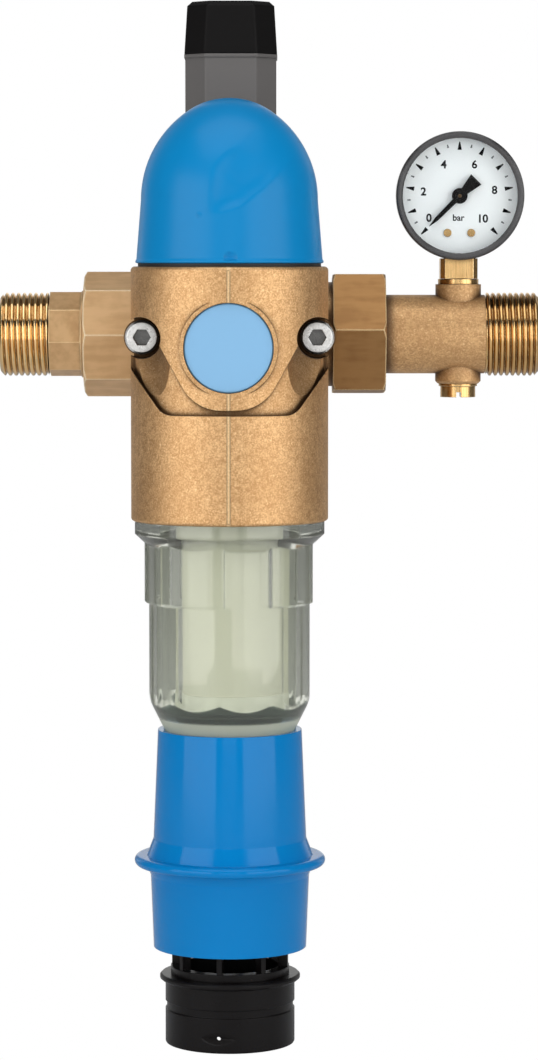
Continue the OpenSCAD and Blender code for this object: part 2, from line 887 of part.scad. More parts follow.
gauge_z = z_pipe + gauge_rise;
bezel_wall = 0.8;
gauge_case_r = gauge_r - bezel_wall;
gauge_shell = 1.4;
gauge_front = pipe_y - gauge_depth / 2 - over;
stem_neck_r = 5.4;
stem_neck_h = 2.2;
square_low = z_pipe + boss_up + stem_neck_h;
square_top = gauge_z - gauge_case_r - seat_gap;
socket_w = 11;
socket_reach = 15.5;
socket_top = gauge_z - socket_reach;
window_set = 1.2;
window_y = gauge_front + window_set;
window_t = 1.8;
dial_set = 6.5;
dial_y = gauge_front + dial_set;
dial_t = 0.8;
arbor_r = 0.9;
arbor_reach = 16;
arbor_end = gauge_front + arbor_reach;
dial_screw_x = 4.7;
dial_screw_drop = 14.6;
dial_screw_r = 0.8;
dial_screw_len = 1.8;
movement_half = 8;
movement_gap = 0.2;

// Front-to-back rod on the gauge's axis
module gauge_rod(radius, from, to) {
    rod_y(gauge_x, gauge_z, radius, from, to);
}

module gauge_stem() {
    edge = 1.8;
    passage_r = 2;
    socket_cover = 3;
    thread_len = 6.5;
    half = gauge_square / 2;
    color(brass)
        translate([gauge_x, pipe_y, 0])
            difference() {
                union() {
                    rod_z(gauge_thread_r, z_pipe + boss_up - thread_len, z_pipe + boss_up);
                    rod_z(stem_neck_r, z_pipe + boss_up - over, square_low + over);
                    translate([0, 0, square_low])
                        linear_extrude(height = square_top - square_low)
                            polygon([
                                [half - edge, -half],
                                [half, edge - half],
                                [half, half - edge],
                                [half - edge, half],
                                [edge - half, half],
                                [-half, half - edge],
                                [-half, edge - half],
                                [edge - half, -half]
                            ]);
                    translate([-socket_w / 2, -socket_w / 2, square_top - over])
                        cube([socket_w, socket_w, socket_top - square_top + over]);
                }
                rod_z(passage_r, z_pipe, socket_top - socket_cover);
            }
}

module gauge_stem_seal() {
    color(rubber)
        translate([gauge_x, pipe_y, 0])
            ring_z(boss_r - over, stem_neck_r + thread_play, z_pipe + boss_up, square_low - thread_play);
}

module gauge_case() {
    color(black)
    difference() {
        gauge_rod(gauge_case_r, window_y + window_t, gauge_front + gauge_depth);
        gauge_rod(gauge_case_r - gauge_shell, window_y, gauge_front + gauge_depth - gauge_shell);
        translate([gauge_x - socket_w / 2 - thread_play, pipe_y - socket_w / 2 - thread_play, square_top - over])
            cube([socket_w + 2 * thread_play, socket_w + 2 * thread_play, gauge_r / 2]);
    }
}

module gauge_bezel() {
    skirt = 6.5;
    edge = 0.8;
    color(black)
        translate([gauge_x, gauge_front, gauge_z])
            rotate([-90, 0, 0])
                rotate_extrude()
                    difference() {
                        bar_profile(gauge_r, 0, skirt, edge, edge / 4);
                        translate([0, -over])
                            square([dial_r + over / 2, skirt + 2 * over]);
                        translate([0, window_y - gauge_front])
                            square([gauge_case_r + thread_play / 2, skirt + over]);
                    }
}

module gauge_window() {
    color(clear)
        gauge_rod(gauge_case_r - thread_play, window_y, window_y + window_t);
}

// Front-to-back rod at one of the two dial screws
module dial_screw_rod(side, radius, from, to) {
    rod_y(gauge_x + side * dial_screw_x, gauge_z - dial_screw_drop, radius, from, to);
}

module gauge_dial() {
    hole_play = 0.4;
    color(white)
    difference() {
        gauge_rod(gauge_case_r - gauge_shell - thread_play, dial_y, dial_y + dial_t);
        gauge_rod(arbor_r + hole_play, dial_y - over, dial_y + dial_t + over);
        for (side = [-1, 1])
            dial_screw_rod(side, dial_screw_r + thread_play, dial_y - over, dial_y + dial_t + over);
    }
}

module dial_screws() {
    head_r = 1.6;
    head_t = 0.5;
    color(brass)
    for (side = [-1, 1]) {
        dial_screw_rod(side, head_r, dial_y - head_t, dial_y);
        dial_screw_rod(side, dial_screw_r, dial_y - head_t / 2, dial_y + dial_screw_len);
    }
}

module gauge_movement() {
    front = dial_y + dial_t + movement_gap;
    color(brass)
    difference() {
        translate([gauge_x - movement_half, front, socket_top])
            cube([2 * movement_half, arbor_end - front, gauge_z + movement_half - socket_top]);
        gauge_rod(arbor_r + pin_play, front - over, arbor_end + over);
        for (side = [-1, 1])
            dial_screw_rod(side, dial_screw_r + pin_play, front - over, dial_y + dial_screw_len + over);
    }
}

module gauge_pointer() {
    plate_lift = 2.4;
    plate_y = dial_y - plate_lift;
    plate_t = 0.7;
    hub_r = 3.1;
    length = 17;
    taper = 4;
    root = 1.1;
    narrow = 0.8;
    tip = 0.1;
    tail = 9.2;
    tail_w = 2.9;
    rest_angle = 225;
    end_gap = 0.5;
    color(black) {
        translate([gauge_x, plate_y + plate_t, gauge_z])
            rotate([90, 0, 0])
                linear_extrude(height = plate_t)
                    rotate([0, 0, rest_angle]) {
                        circle(r = hub_r);
                        polygon([
                            [0, root],
                            [length - taper, narrow],
                            [length, tip],
                            [length, -tip],
                            [length - taper, -narrow],
                            [0, -root]
                        ]);
                        polygon([[0, root], [-tail, tail_w], [-tail, -tail_w], [0, -root]]);
                    }
        gauge_rod(arbor_r, plate_y + plate_t / 2, arbor_end - end_gap);
    }
}

module bourdon_tube() {
    half_t = 1.1;
    mean_r = gauge_case_r - gauge_shell - 4 * half_t;
    width = 6;
    set_back = 2;
    start = -acos((movement_half + movement_gap) / (mean_r - half_t));
    sweep = 240;
    color(brass)
        translate([gauge_x, arbor_end - set_back, gauge_z])
            rotate([90, 0, 0])
                rotate([0, 0, start])
                    rotate_extrude(angle = sweep)
                        translate([mean_r - half_t, -width])
                            square([2 * half_t, width]);
}

housing_top = z_pipe + housing_rise;
housing_low = membrane_z + membrane_t;
spring_bore_r = 13.5;
key_w = 4;
key_r = 14.8;
roof = 8;
tower_r = 11;
tower_h = 7;
tower_wall = 3;

// Square outline with bevelled corners
module bevel_square(width, bevel) {
    half = width / 2;
    polygon([
        [half - bevel, -half],
        [half, bevel - half],
        [half, half - bevel],
        [half - bevel, half],
        [bevel - half, half],
        [-half, half - bevel],
        [-half, bevel - half],
        [bevel - half, -half]
    ]);
}

module reducer_housing() {
    shoulder_r = 20;
    shoulder_t = 4;
    lip_h = 1.4;
    lip_w = 0.8;
    color(grey)
        translate([0, pipe_y, 0])
            difference() {
                union() {
                    rod_z(housing_thread_r, housing_low, core_top + over);
                    rod_z(shoulder_r, core_top, core_top + shoulder_t);
                    translate([0, 0, core_top + shoulder_t - over])
                        linear_extrude(height = housing_top - core_top - shoulder_t + over)
                            bevel_square(housing_w, housing_bevel);
                    translate([0, 0, housing_top - lip_h])
                        linear_extrude(height = lip_h)
                            bevel_square(housing_w + lip_w, housing_bevel);
                    rod_z(tower_r, housing_top - over, housing_top + tower_h);
                }
                rod_z(spring_bore_r, housing_low - over, housing_top - roof);
                translate([-key_r - slide_play, -key_w / 2 - slide_play, housing_low - over])
                    cube([2 * key_r + 2 * slide_play, key_w + 2 * slide_play, housing_top - roof - housing_low + over]);
                rod_z(spindle_r + pin_play, housing_low, housing_top + tower_h + over);
                rod_z(tower_r - tower_wall, housing_top, housing_top + tower_h + over);
            }
}

module adjuster_cap() {
    edge = 2;
    bevel = 8;
    cavity_play = 1.5;
    cavity = tower_h + cavity_play;
    brim = 0.6;
    layer = 0.2;
    color(black)
        translate([0, pipe_y, housing_top])
            difference() {
                hull() {
                    linear_extrude(height = brim)
                        bevel_square(cap_low_w, bevel);
                    translate([0, 0, cap_h - edge])
                        linear_extrude(height = layer)
                            bevel_square(cap_top_w, bevel);
                    translate([0, 0, cap_h - layer])
                        linear_extrude(height = layer)
                            bevel_square(cap_top_w - 2 * edge, bevel - edge / 2);
                }
                translate([0, 0, -over])
                    cylinder(r = tower_r + slide_play, h = cavity + over);
            }
}

thrust_z = housing_top - roof - seat_gap;
plate_rise = 72;
plate_z = z_pipe + plate_rise;
plate_t = 5;

module adjuster_spindle() {
    collar_h = 4;
    collar_w = 3;
    foot = 4;
    slot_w = 1.6;
    slot_depth = 2;
    top = housing_top + tower_h - over;
    color(steel)
        translate([0, pipe_y, 0])
            difference() {
                union() {
                    rod_z(spindle_r, plate_z - plate_travel - foot, top);
                    rod_z(spindle_r + collar_w, thrust_z - collar_h, thrust_z);
                }
                translate([-2 * spindle_r, -slot_w / 2, top - slot_depth])
                    cube([4 * spindle_r, slot_w, slot_depth + over]);
            }
}

module spring_plate() {
    plate_play = 0.3;
    color(brass)
        translate([0, pipe_y, 0])
            difference() {
                union() {
                    rod_z(spring_bore_r - plate_play, plate_z, plate_z + plate_t);
                    translate([-key_r, -key_w / 2, plate_z])
                        cube([2 * key_r, key_w, plate_t]);
                }
                rod_z(spindle_r + pin_play, plate_z - over, plate_z + plate_t + over);
            }
}

disc_plate_t = 3;
module reducer_spring() {
    mean_r = 9.6;
    turns = 6;
    low = housing_low + disc_plate_t;
    color(steel)
        translate([0, pipe_y, low])
            coil(mean_r, reducer_wire_r, plate_z - low, turns);
}

valve_stem_r = 2.5;
module diaphragm() {
    color(rubber)
        translate([0, pipe_y, 0])
            ring_z(housing_thread_r - thread_play, valve_stem_r + thread_play, membrane_z, housing_low);
}

module diaphragm_plate() {
    plate_r = 11;
    color(brass)
        translate([0, pipe_y, 0])
            ring_z(plate_r, valve_stem_r + pin_play, housing_low, housing_low + disc_plate_t);
}

module reducer_valve() {
    disc_r = 8.6;
    disc_t = 4;
    washer_r = 8;
    washer_t = 2;
    disc_top = seat_low - valve_lift - seat_gap;
    color(brass)
        translate([0, pipe_y, 0]) {
            rod_z(disc_r, disc_top - disc_t, disc_top);
            rod_z(valve_stem_r, disc_top - over, housing_low + disc_plate_t);
            rod_z(washer_r, membrane_z - washer_t, membrane_z);
        }
}

module reducer_seat() {
    lip_r = 11;
    lip_t = 1.5;
    throat_r = 6.5;
    color(steel)
        translate([0, pipe_y, 0])
            difference() {
                union() {
                    rod_z(seat_bore_r - thread_play, seat_low, seat_top + over);
                    rod_z(lip_r, seat_top, seat_top + lip_t);
                }
                rod_z(throat_r, seat_low - over, seat_top + lip_t + over);
            }
}

bowl_sides = 9;
// Nine-sided prism between two heights
module nine_sided(flat, low, high) {
    translate([0, 0, low])
        rotate([0, 0, bowl_turn])
            cylinder(r = flat / cos(180 / bowl_sides), h = high - low, $fn = bowl_sides);
}

rim_cone = 4;
z_grip_top = z_body - rim_h - rim_cone;
z_grip = z_grip_top - grip_h;
bowl_slope = 0.5;
grip_gaps = 3;

// Gaps with sloping sides that leave some flats of the bowl without grip
module grip_gap_cut() {
    reach = grip_r - bowl_flat + over;
    for (i = [0 : grip_gaps - 1])
        rotate([0, 0, bowl_turn + 180 / bowl_sides + 360 * i / grip_gaps])
            translate([bowl_flat, 0, z_grip - over])
                linear_extrude(height = grip_h + rim_cone + 2 * over)
                    polygon([
                        [0, -grip_gap],
                        [reach, -grip_gap - reach],
                        [reach, grip_gap + reach],
                        [0, grip_gap]
                    ]);
}

module filter_bowl() {
    turn_rise = 20.3;
    turn_z = z_bowl + turn_rise;
    lean = atan(bowl_slope);
    lean_r = bowl_r - bowl_round + bowl_round * cos(lean);
    lean_z = turn_z - bowl_round * sin(lean);
    floor_r = lean_r - bowl_slope * (lean_z - z_bowl);
    grip_edge = 0.6;
    hollow_round = 8;
    hollow_h = 1.6 * hollow_round;
    rim_start = 0.4;
    z_floor = z_bowl + bowl_floor;
    color(clear)
    difference() {
        union() {
            intersection() {
                nine_sided(bowl_flat, z_bowl, z_grip + over);
                rotate_extrude() {
                    polygon([
                        [0, z_bowl],
                        [floor_r, z_bowl],
                        [lean_r, lean_z],
                        [0, lean_z]
                    ]);
                    intersection() {
                        translate([bowl_r - bowl_round, turn_z])
                            circle(r = bowl_round);
                        translate([0, lean_z])
                            square([2 * bowl_r, bowl_round]);
                    }
                    translate([0, turn_z])
                        square([bowl_r, z_grip + over - turn_z]);
                    translate([0, lean_z])
                        square([bowl_r - bowl_round, bowl_round]);
                }
            }
            difference() {
                intersection() {
                    nine_sided(grip_flat, z_grip, z_body - rim_h);
                    rotate_extrude()
                        polygon([
                            [0, z_grip],
                            [grip_r - grip_edge, z_grip],
                            [grip_r, z_grip + grip_edge],
                            [grip_r, z_body - rim_h],
                            [0, z_body - rim_h]
                        ]);
                }
                grip_gap_cut();
            }
            rotate_extrude()
                polygon([
                    [0, z_grip_top - over],
                    [grip_flat - rim_start, z_grip_top - over],
                    [rim_r, z_body - rim_h],
                    [rim_r, z_body],
                    [0, z_body]
                ]);
            rod_z(bowl_thread_r, z_body - over, z_bowl_top);
            rod_z(neck_r, neck_foot, z_bowl + over);
        }
        rotate_extrude() {
            translate([0, z_floor + hollow_round])
                square([bowl_in_r, z_bowl_top - z_floor]);
            polygon([
                [0, z_floor],
                [bowl_in_r - hollow_round, z_floor],
                [bowl_in_r, z_floor + hollow_h],
                [0, z_floor + hollow_h]
            ]);
        }
        rod_z(drain_bore_r, neck_foot - over, z_floor + over);
    }
}

module bowl_seal() {
    color(rubber)
        ring_z(bowl_thread_r - thread_play, raw_r + thread_play, z_bowl_top, z_raw);
}

element_rise = 15;
z_element = z_bowl + element_rise;
cap_t = 5;
z_mesh = z_element + cap_t;
head_drop = 5;
z_head = z_bowl_top - head_drop;
head_t = 6;
rib_w = 2.2;
rib_reach = 2.6;
mesh_step = 0.5;
axle_cover = 2;
axle_end = 0.2;

// Hoop that ties the cage's ribs together, below a given height
module cage_band(outer, inner, top) {
    band_h = 2;
    ring_z(outer, inner, top - band_h, top);
}

module filter_cage() {
    inner = mesh_r - mesh_t - rib_reach;
    band_r = mesh_r - mesh_t - thread_play;
    band_in = 0.4;
    rib_in = 0.2;
    pivot_r = 4;
    pivot_h = 4;
    color(white)
    difference() {
        union() {
            rod_z(mesh_r + mesh_step, z_element, z_mesh);
            rod_z(pivot_r, z_mesh - over, z_mesh + pivot_h);
            for (i = [0 : cage_ribs - 1])
                rotate([0, 0, 360 * (i + 0.5) / cage_ribs])
                    translate([inner, -rib_w / 2, z_mesh - over])
                        cube([band_r - inner - rib_in, rib_w, z_head - z_mesh + over]);
            for (share = [1 / 3, 2 / 3, 1])
                cage_band(band_r, inner + band_in, z_mesh + share * (z_head - z_mesh));
        }
        rod_z(axle_r + pin_play, z_element + axle_cover, z_head);
    }
}

module filter_mesh() {
    color(steel)
        ring_z(mesh_r, mesh_r - mesh_t, z_mesh, z_head);
}

neck_top = z_filter_seat + filter_seat_h - over;
o_ring_r = 1.1;
o_ring_play = 0.2;
module filter_head() {
    wall = 3;
    hub_r = 4;
    spoke = 2;
    groove_half = o_ring_r + o_ring_play;
    seal_z = z_filter_seat + filter_seat_h / 2;
    color(white)
    difference() {
        union() {
            difference() {
                union() {
                    rod_z(mesh_r + mesh_step, z_head, z_head + head_t);
                    rod_z(filter_neck_r, z_head + head_t - over, neck_top);
                }
                rod_z(filter_neck_r - wall, z_head - over, neck_top + over);
            }
            rod_z(hub_r, z_head, z_head + head_t);
            for (turn = [0, 120, 240])
                rotate([0, 0, turn])
                    translate([0, -spoke / 2, z_head])
                        cube([filter_neck_r - wall / 2, spoke, head_t]);
        }
        rod_z(axle_r + pin_play, z_head - over, z_head + head_t - axle_cover);
        ring_z(filter_neck_r + over, filter_neck_r - 2 * o_ring_r, seal_z - groove_half, seal_z + groove_half);
    }
}

module filter_seal() {
    seal_z = z_filter_seat + filter_seat_h / 2;
    color(rubber)
        rotate_extrude()
            translate([filter_neck_r + thread_play / 2 - o_ring_r, seal_z])
                circle(r = o_ring_r);
}

module rotor_axle() {
    color(steel)
        rod_z(axle_r, z_element + axle_cover + axle_end, z_head + head_t - axle_cover - axle_end);
}

module wash_rotor() {
    hub_r = 5;
    vanes = 4;
    vane_t = 1.6;
    clear_end = 4.2;
    vane_end = 6;
    low = z_mesh + clear_end;
    high = z_head - clear_end;
    color(white)
    difference() {
        union() {
            rod_z(hub_r, low, high);
            for (i = [0 : vanes - 1])
                rotate([0, 0, 360 * i / vanes])
                    translate([0, -vane_t / 2, low + vane_end])
                        cube([rotor_r, vane_t, high - low - 2 * vane_end]);
        }
        rod_z(axle_r + pin_play, low - over, high + over);
    }
}

cage_drop = 36.5;
z_cage_top = z_bowl - cage_drop;
cage_plate_t = 4;
collar_drop = 3.5;
collar_top = z_bowl - collar_drop;
valve_seal_t = 1.5;
valve_disc_t = 3.5;
valve_in = 1.5;
z_pin = z_sleeve + ring_rise;
z_valve_top = neck_foot - seat_gap - valve_seal_t;
pin_turn = air_rib_turn + 180 / air_ribs;

module backwash_sleeve() {
    web_gap = 2;
    web_low = z_cage_top + cage_plate_t + sleeve_travel + web_gap;
    web_t = 3;
    root_low = ring_rise - 5.7;
    root_high = ring_rise + 8.5;
    root_w = 1.4;
    pad_r = 4.2;
    pad_gap = 1.2;
    color(blue)
    difference() {
        union() {
            translate([0, 0, z_sleeve])
                rotate_extrude() {
                    polygon([
                        [sleeve_low_r - sleeve_wall, 0],
                        [sleeve_low_r, 0],
                        [sleeve_mid_r, root_low],
                        [sleeve_mid_r + root_w, ring_rise - ring_t / 2],
                        [sleeve_mid_r + root_w, ring_rise + ring_t / 2],
                        [sleeve_low_r, root_high],
                        [sleeve_top_r, sleeve_len],
                        [sleeve_top_r - sleeve_wall, sleeve_len],
                        [sleeve_low_r - sleeve_wall, root_high]
                    ]);
                    translate([sleeve_low_r - sleeve_wall, ring_rise - ring_t / 2])
                        square([ring_r - ring_t / 2 - sleeve_low_r + sleeve_wall, ring_t]);
                    translate([ring_r - ring_t / 2, ring_rise])
                        circle(r = ring_t / 2);
                }
            ring_z(sleeve_top_r - sleeve_wall / 2, guide_r + slide_play, web_low, web_low + web_t);
            for (side = [0, 180])
                translate([0, 0, z_pin])
                    rotate([0, 0, pin_turn + side])
                        translate([cage_r + pad_gap, 0, 0])
                            rotate([0, 90, 0])
                                cylinder(r = pad_r, h = sleeve_low_r - cage_r - pad_gap - over);
        }
        translate([0, 0, z_pin])
            rotate([0, 0, pin_turn])
                rotate([0, 90, 0])
                    cylinder(r = cross_pin_r + pin_play / 2, h = 2 * (sleeve_low_r - over), center = true);
    }
}

module cross_pin() {
    end_play = 0.2;
    color(steel)
        translate([0, 0, z_pin])
            rotate([0, 0, pin_turn])
                rotate([0, 90, 0])
                    cylinder(r = cross_pin_r, h = 2 * (sleeve_low_r - over - end_play), center = true);
}

module drain_valve() {
    disc_r = neck_r - valve_in;
    boss_h = 1;
    stem_end = 9;
    color(brass)
    difference() {
        union() {
            rod_z(stem_r, z_pin - stem_end, z_valve_top);
            rod_z(disc_r, z_valve_top - valve_disc_t, z_valve_top);
            rod_z(drain_bore_r - valve_in, z_valve_top - over, z_valve_top + valve_seal_t + boss_h);
        }
        translate([0, 0, z_pin])
            rotate([0, 0, pin_turn])
                rotate([0, 90, 0])
                    cylinder(r = cross_pin_r + pin_play / 2, h = 4 * stem_r, center = true);
    }
}

module drain_valve_seal() {
    color(rubber)
        ring_z(neck_r - valve_in, drain_bore_r - valve_in + thread_play, z_valve_top, z_valve_top + valve_seal_t);
}

module drain_spring() {
    mean_r = 6.6;
    wire_r = 0.6;
    turns = 4;
    low = z_cage_top + cage_plate_t;
    color(steel)
        translate([0, 0, low])
            coil(mean_r, wire_r, z_valve_top - valve_disc_t - low, turns);
}

cage_skirt = 6;
rib_depth = 4;
module air_gap_cage() {
    rib_set = 0.2;
    hub_r = 8;
    spokes = 3;
    spoke_w = 3;
    base_h = 3;
    skirt_r = spigot_d / 2 - spigot_wall - thread_play;
    bore = neck_r + thread_play;
    color(black)
    difference() {
        union() {
            ring_z(cage_r, cage_r - rib_depth, z_cage, z_cage + base_h);
            ring_z(skirt_r, cage_r - rib_depth, z_cage - cage_skirt, z_cage + over);
            for (i = [0 : air_ribs - 1])
                rotate([0, 0, air_rib_turn + 360 * i / air_ribs])
                    translate([cage_r - rib_depth, -air_rib_t / 2, z_cage + over])
                        cube([rib_depth - rib_set, air_rib_t, z_cage_top - z_cage]);
            ring_z(cage_r, bore, z_cage_top, z_cage_top + cage_plate_t);
            ring_z(guide_r, bore, z_cage_top + over, collar_top);
            rod_z(hub_r, z_cage_top, z_cage_top + cage_plate_t);
            for (i = [0 : spokes - 1])
                rotate([0, 0, 360 * i / spokes])
                    translate([0, -spoke_w / 2, z_cage_top])
                        cube([bore + over, spoke_w, cage_plate_t]);
        }
        rod_z(stem_r + pin_play, z_cage_top - over, z_cage_top + cage_plate_t + over);
    }
}

module drain_spigot() {
    outer = spigot_d / 2;
    groove_low = 13.4;
    groove_w = 3.2;
    groove_depth = 0.6;
    edge = 0.8;
    color(black)
    difference() {
        union() {
            rod_z(outer, 0, spigot_len + over);
            rotate_extrude()
                bar_profile(drain_flange_r, spigot_len, z_cage, edge, edge);
        }
        rod_z(outer - spigot_wall, -over, z_cage + over);
        ring_z(outer + over, outer - groove_depth, groove_low, groove_low + groove_w);
    }
}

filter_body();
badge_disc();
body_top_plug();
top_plug_seal();
hood_seat_ring();
hood();
connection_module();
flange_gasket();
flange_bolts();
inlet_union_nut();
inlet_tailpiece();
inlet_gasket();
outlet_union_nut();
outlet_tailpiece();
outlet_gasket();
check_valve_housing();
check_valve_poppet();
check_valve_spring();
test_plug();
test_plug_seal();
gauge_stem();
gauge_stem_seal();
gauge_case();
gauge_bezel();
gauge_window();
gauge_dial();
dial_screws();
gauge_movement();
gauge_pointer();
bourdon_tube();
reducer_housing();
adjuster_cap();
adjuster_spindle();
spring_plate();
reducer_spring();
diaphragm();
diaphragm_plate();
reducer_valve();
reducer_seat();
filter_bowl();
bowl_seal();
filter_cage();
filter_mesh();
filter_head();
filter_seal();
rotor_axle();
wash_rotor();
backwash_sleeve();
cross_pin();
drain_valve();
drain_valve_seal();
drain_spring();
air_gap_cage();
drain_spigot();
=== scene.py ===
"""Studio view of a self-cleaning water filter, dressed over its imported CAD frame."""

import logging
import math
from dataclasses import dataclass, field
from enum import Enum
from functools import cache
from typing import Callable, ClassVar, Sequence

import bmesh
import bpy
import numpy as np
from mathutils import Matrix, Vector


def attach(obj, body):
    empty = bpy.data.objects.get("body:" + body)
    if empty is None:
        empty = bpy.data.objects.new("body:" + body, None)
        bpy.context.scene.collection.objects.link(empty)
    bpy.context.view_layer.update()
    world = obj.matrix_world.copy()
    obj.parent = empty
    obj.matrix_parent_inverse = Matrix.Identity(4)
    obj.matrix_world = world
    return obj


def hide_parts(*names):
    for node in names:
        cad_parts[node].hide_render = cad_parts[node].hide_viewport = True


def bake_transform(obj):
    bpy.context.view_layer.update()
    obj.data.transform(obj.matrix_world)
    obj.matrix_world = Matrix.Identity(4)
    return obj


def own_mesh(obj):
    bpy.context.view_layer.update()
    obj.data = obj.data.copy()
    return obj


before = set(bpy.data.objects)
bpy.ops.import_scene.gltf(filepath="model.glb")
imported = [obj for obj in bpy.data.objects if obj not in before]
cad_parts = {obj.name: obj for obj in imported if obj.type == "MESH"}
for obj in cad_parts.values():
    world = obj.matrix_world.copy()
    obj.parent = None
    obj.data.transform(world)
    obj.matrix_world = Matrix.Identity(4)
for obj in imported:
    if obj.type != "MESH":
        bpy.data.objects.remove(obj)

LOG = logging.getLogger("water_filter")
MM = 0.001
FULL = 255.0
TONE = (0.36, 0.62)
UP = (0.0, 0.0, 1.0)
Colour = tuple[float, float, float]
Point = tuple[float, float, float]
Pair = tuple[float, float]
Socket, Tree = bpy.types.NodeSocket, bpy.types.NodeTree
Object, Mesh, Material = bpy.types.Object, bpy.types.Mesh, bpy.types.Material


class Body(Enum):
    """Rigid bodies of the CAD frame that made pieces ride on."""

    FILTER = "filter"
    PLATE = "plate"
    VALVE = "valve"
    POINTER = "pointer"


class Slot(Enum):
    """Material slots, by name."""

    BRASS = "brass"
    STEEL = "steel"
    BLUE = "blue_plastic"
    BLACK = "black_plastic"
    GAUGE = "gauge_black"
    RUBBER = "rubber"


def srgb(red: float, green: float, blue: float) -> Colour:
    """Turns a display colour into the linear one that shaders take.

    Args:
        red: Red, 0 to 255.
        green: Green, 0 to 255.
        blue: Blue, 0 to 255.

    Returns:
        The linear colour.
    """
    shares = (value / FULL for value in (red, green, blue))
    return tuple(share / 12.92 if share <= 0.04045 else ((share + 0.055) / 1.055) ** 2.4 for share in shares)


class Graph:
    """Adds and links nodes in one node tree."""

    def __init__(self, tree: Tree) -> None:
        """Keeps the tree.

        Args:
            tree: Tree to build in.
        """
        self.tree = tree

    def add(self, kind: str, inputs: dict | None = None, **settings: object) -> bpy.types.Node:
        """Adds a node, sets its properties and fills its inputs.

        Args:
            kind: Node type name.
            inputs: Socket name or index to a value or an output socket.
            **settings: Properties of the node.

        Returns:
            The new node.
        """
        node = self.tree.nodes.new(kind)
        for key, value in settings.items():
            setattr(node, key, value)
        for key, value in (inputs or {}).items():
            socket = node.inputs[key]
            if isinstance(value, Socket):
                self.tree.links.new(value, socket)
            elif socket.type == "RGBA" and len(value) == 3:
                socket.default_value = (*value, 1.0)
            else:
                socket.default_value = value
        return node

    def math(self, operation: str, *values: object) -> Socket:
        """Adds a math node.

        Args:
            operation: Name of the operation.
            *values: Numbers or output sockets.

        Returns:
            The result's socket.
        """
        return self.add("ShaderNodeMath", dict(enumerate(values)), operation=operation).outputs[0]

    def mix(self, factor: object, first: object, second: object, blend: str = "MIX") -> Socket:
        """Mixes two colours.

        Args:
            factor: Share of the second colour.
            first: First colour or socket.
            second: Second colour or socket.
            blend: Way of blending.

        Returns:
            The mixed colour's socket.
        """
        values = {0: factor, 6: first, 7: second}
        return self.add("ShaderNodeMix", values, data_type="RGBA", blend_type=blend).outputs[2]

    def ramp(self, value: Socket, low: float, high: float) -> Socket:
        """Stretches a value so that low becomes 0 and high becomes 1.

        Args:
            value: Socket to stretch.
            low: Value that becomes 0.
            high: Value that becomes 1.

        Returns:
            The stretched, clamped value.
        """
        node = self.add("ShaderNodeMapRange", {0: value, 1: low, 2: high}, interpolation_type="SMOOTHSTEP")
        return node.outputs[0]

    def noise(self, vector: Socket, scale: object, detail: float = 2.0, rough: float = 0.5) -> Socket:
        """Adds a noise texture.

        Args:
            vector: Coordinates.
            scale: Size of the noise, per metre, or its socket.
            detail: Number of octaves.
            rough: Weight of the finer octaves.

        Returns:
            The noise value's socket.
        """
        values = {"Vector": vector, "Scale": scale, "Detail": detail, "Roughness": rough}
        return self.add("ShaderNodeTexNoise", values).outputs[0]

    def blend(self, factor: object, first: Socket, second: Socket) -> Socket:
        """Mixes two shaders.

        Args:
            factor: Share of the second shader.
            first: First shader.
            second: Second shader.

        Returns:
            The mixed shader's socket.
        """
        return self.add("ShaderNodeMixShader", {0: factor, 1: first, 2: second}).outputs[0]

    @classmethod
    def group(cls, name: str, kind: str, inputs: dict[str, str], outputs: dict[str, str]) -> tuple["Graph", dict]:
        """Starts a node group with its interface.

        Args:
            name: Name of the group.
            kind: Shader or Geometry.
            inputs: Kind of socket to the names of the inputs of that kind.
            outputs: Kind of socket to the names of the outputs of that kind.

        Returns:
            Graph of the group and its input sockets by name.
        """
        tree = bpy.data.node_groups.new(name, f"{kind}NodeTree")
        for way, sockets in (("INPUT", inputs), ("OUTPUT", outputs)):
            for socket_kind, names in sockets.items():
                for key in names.split():
                    tree.interface.new_socket(key, in_out=way, socket_type=f"NodeSocket{socket_kind}")
        graph = cls(tree)
        return graph, {s.name: s for s in graph.add("NodeGroupInput").outputs if s.name}

    @classmethod
    def fresh(cls, owner: bpy.types.ID) -> "Graph":
        """Starts an empty node tree on a material or a world.

        Args:
            owner: Material or world.

        Returns:
            Graph of its tree.
        """
        owner.use_nodes = True
        owner.node_tree.nodes.clear()
        return cls(owner.node_tree)


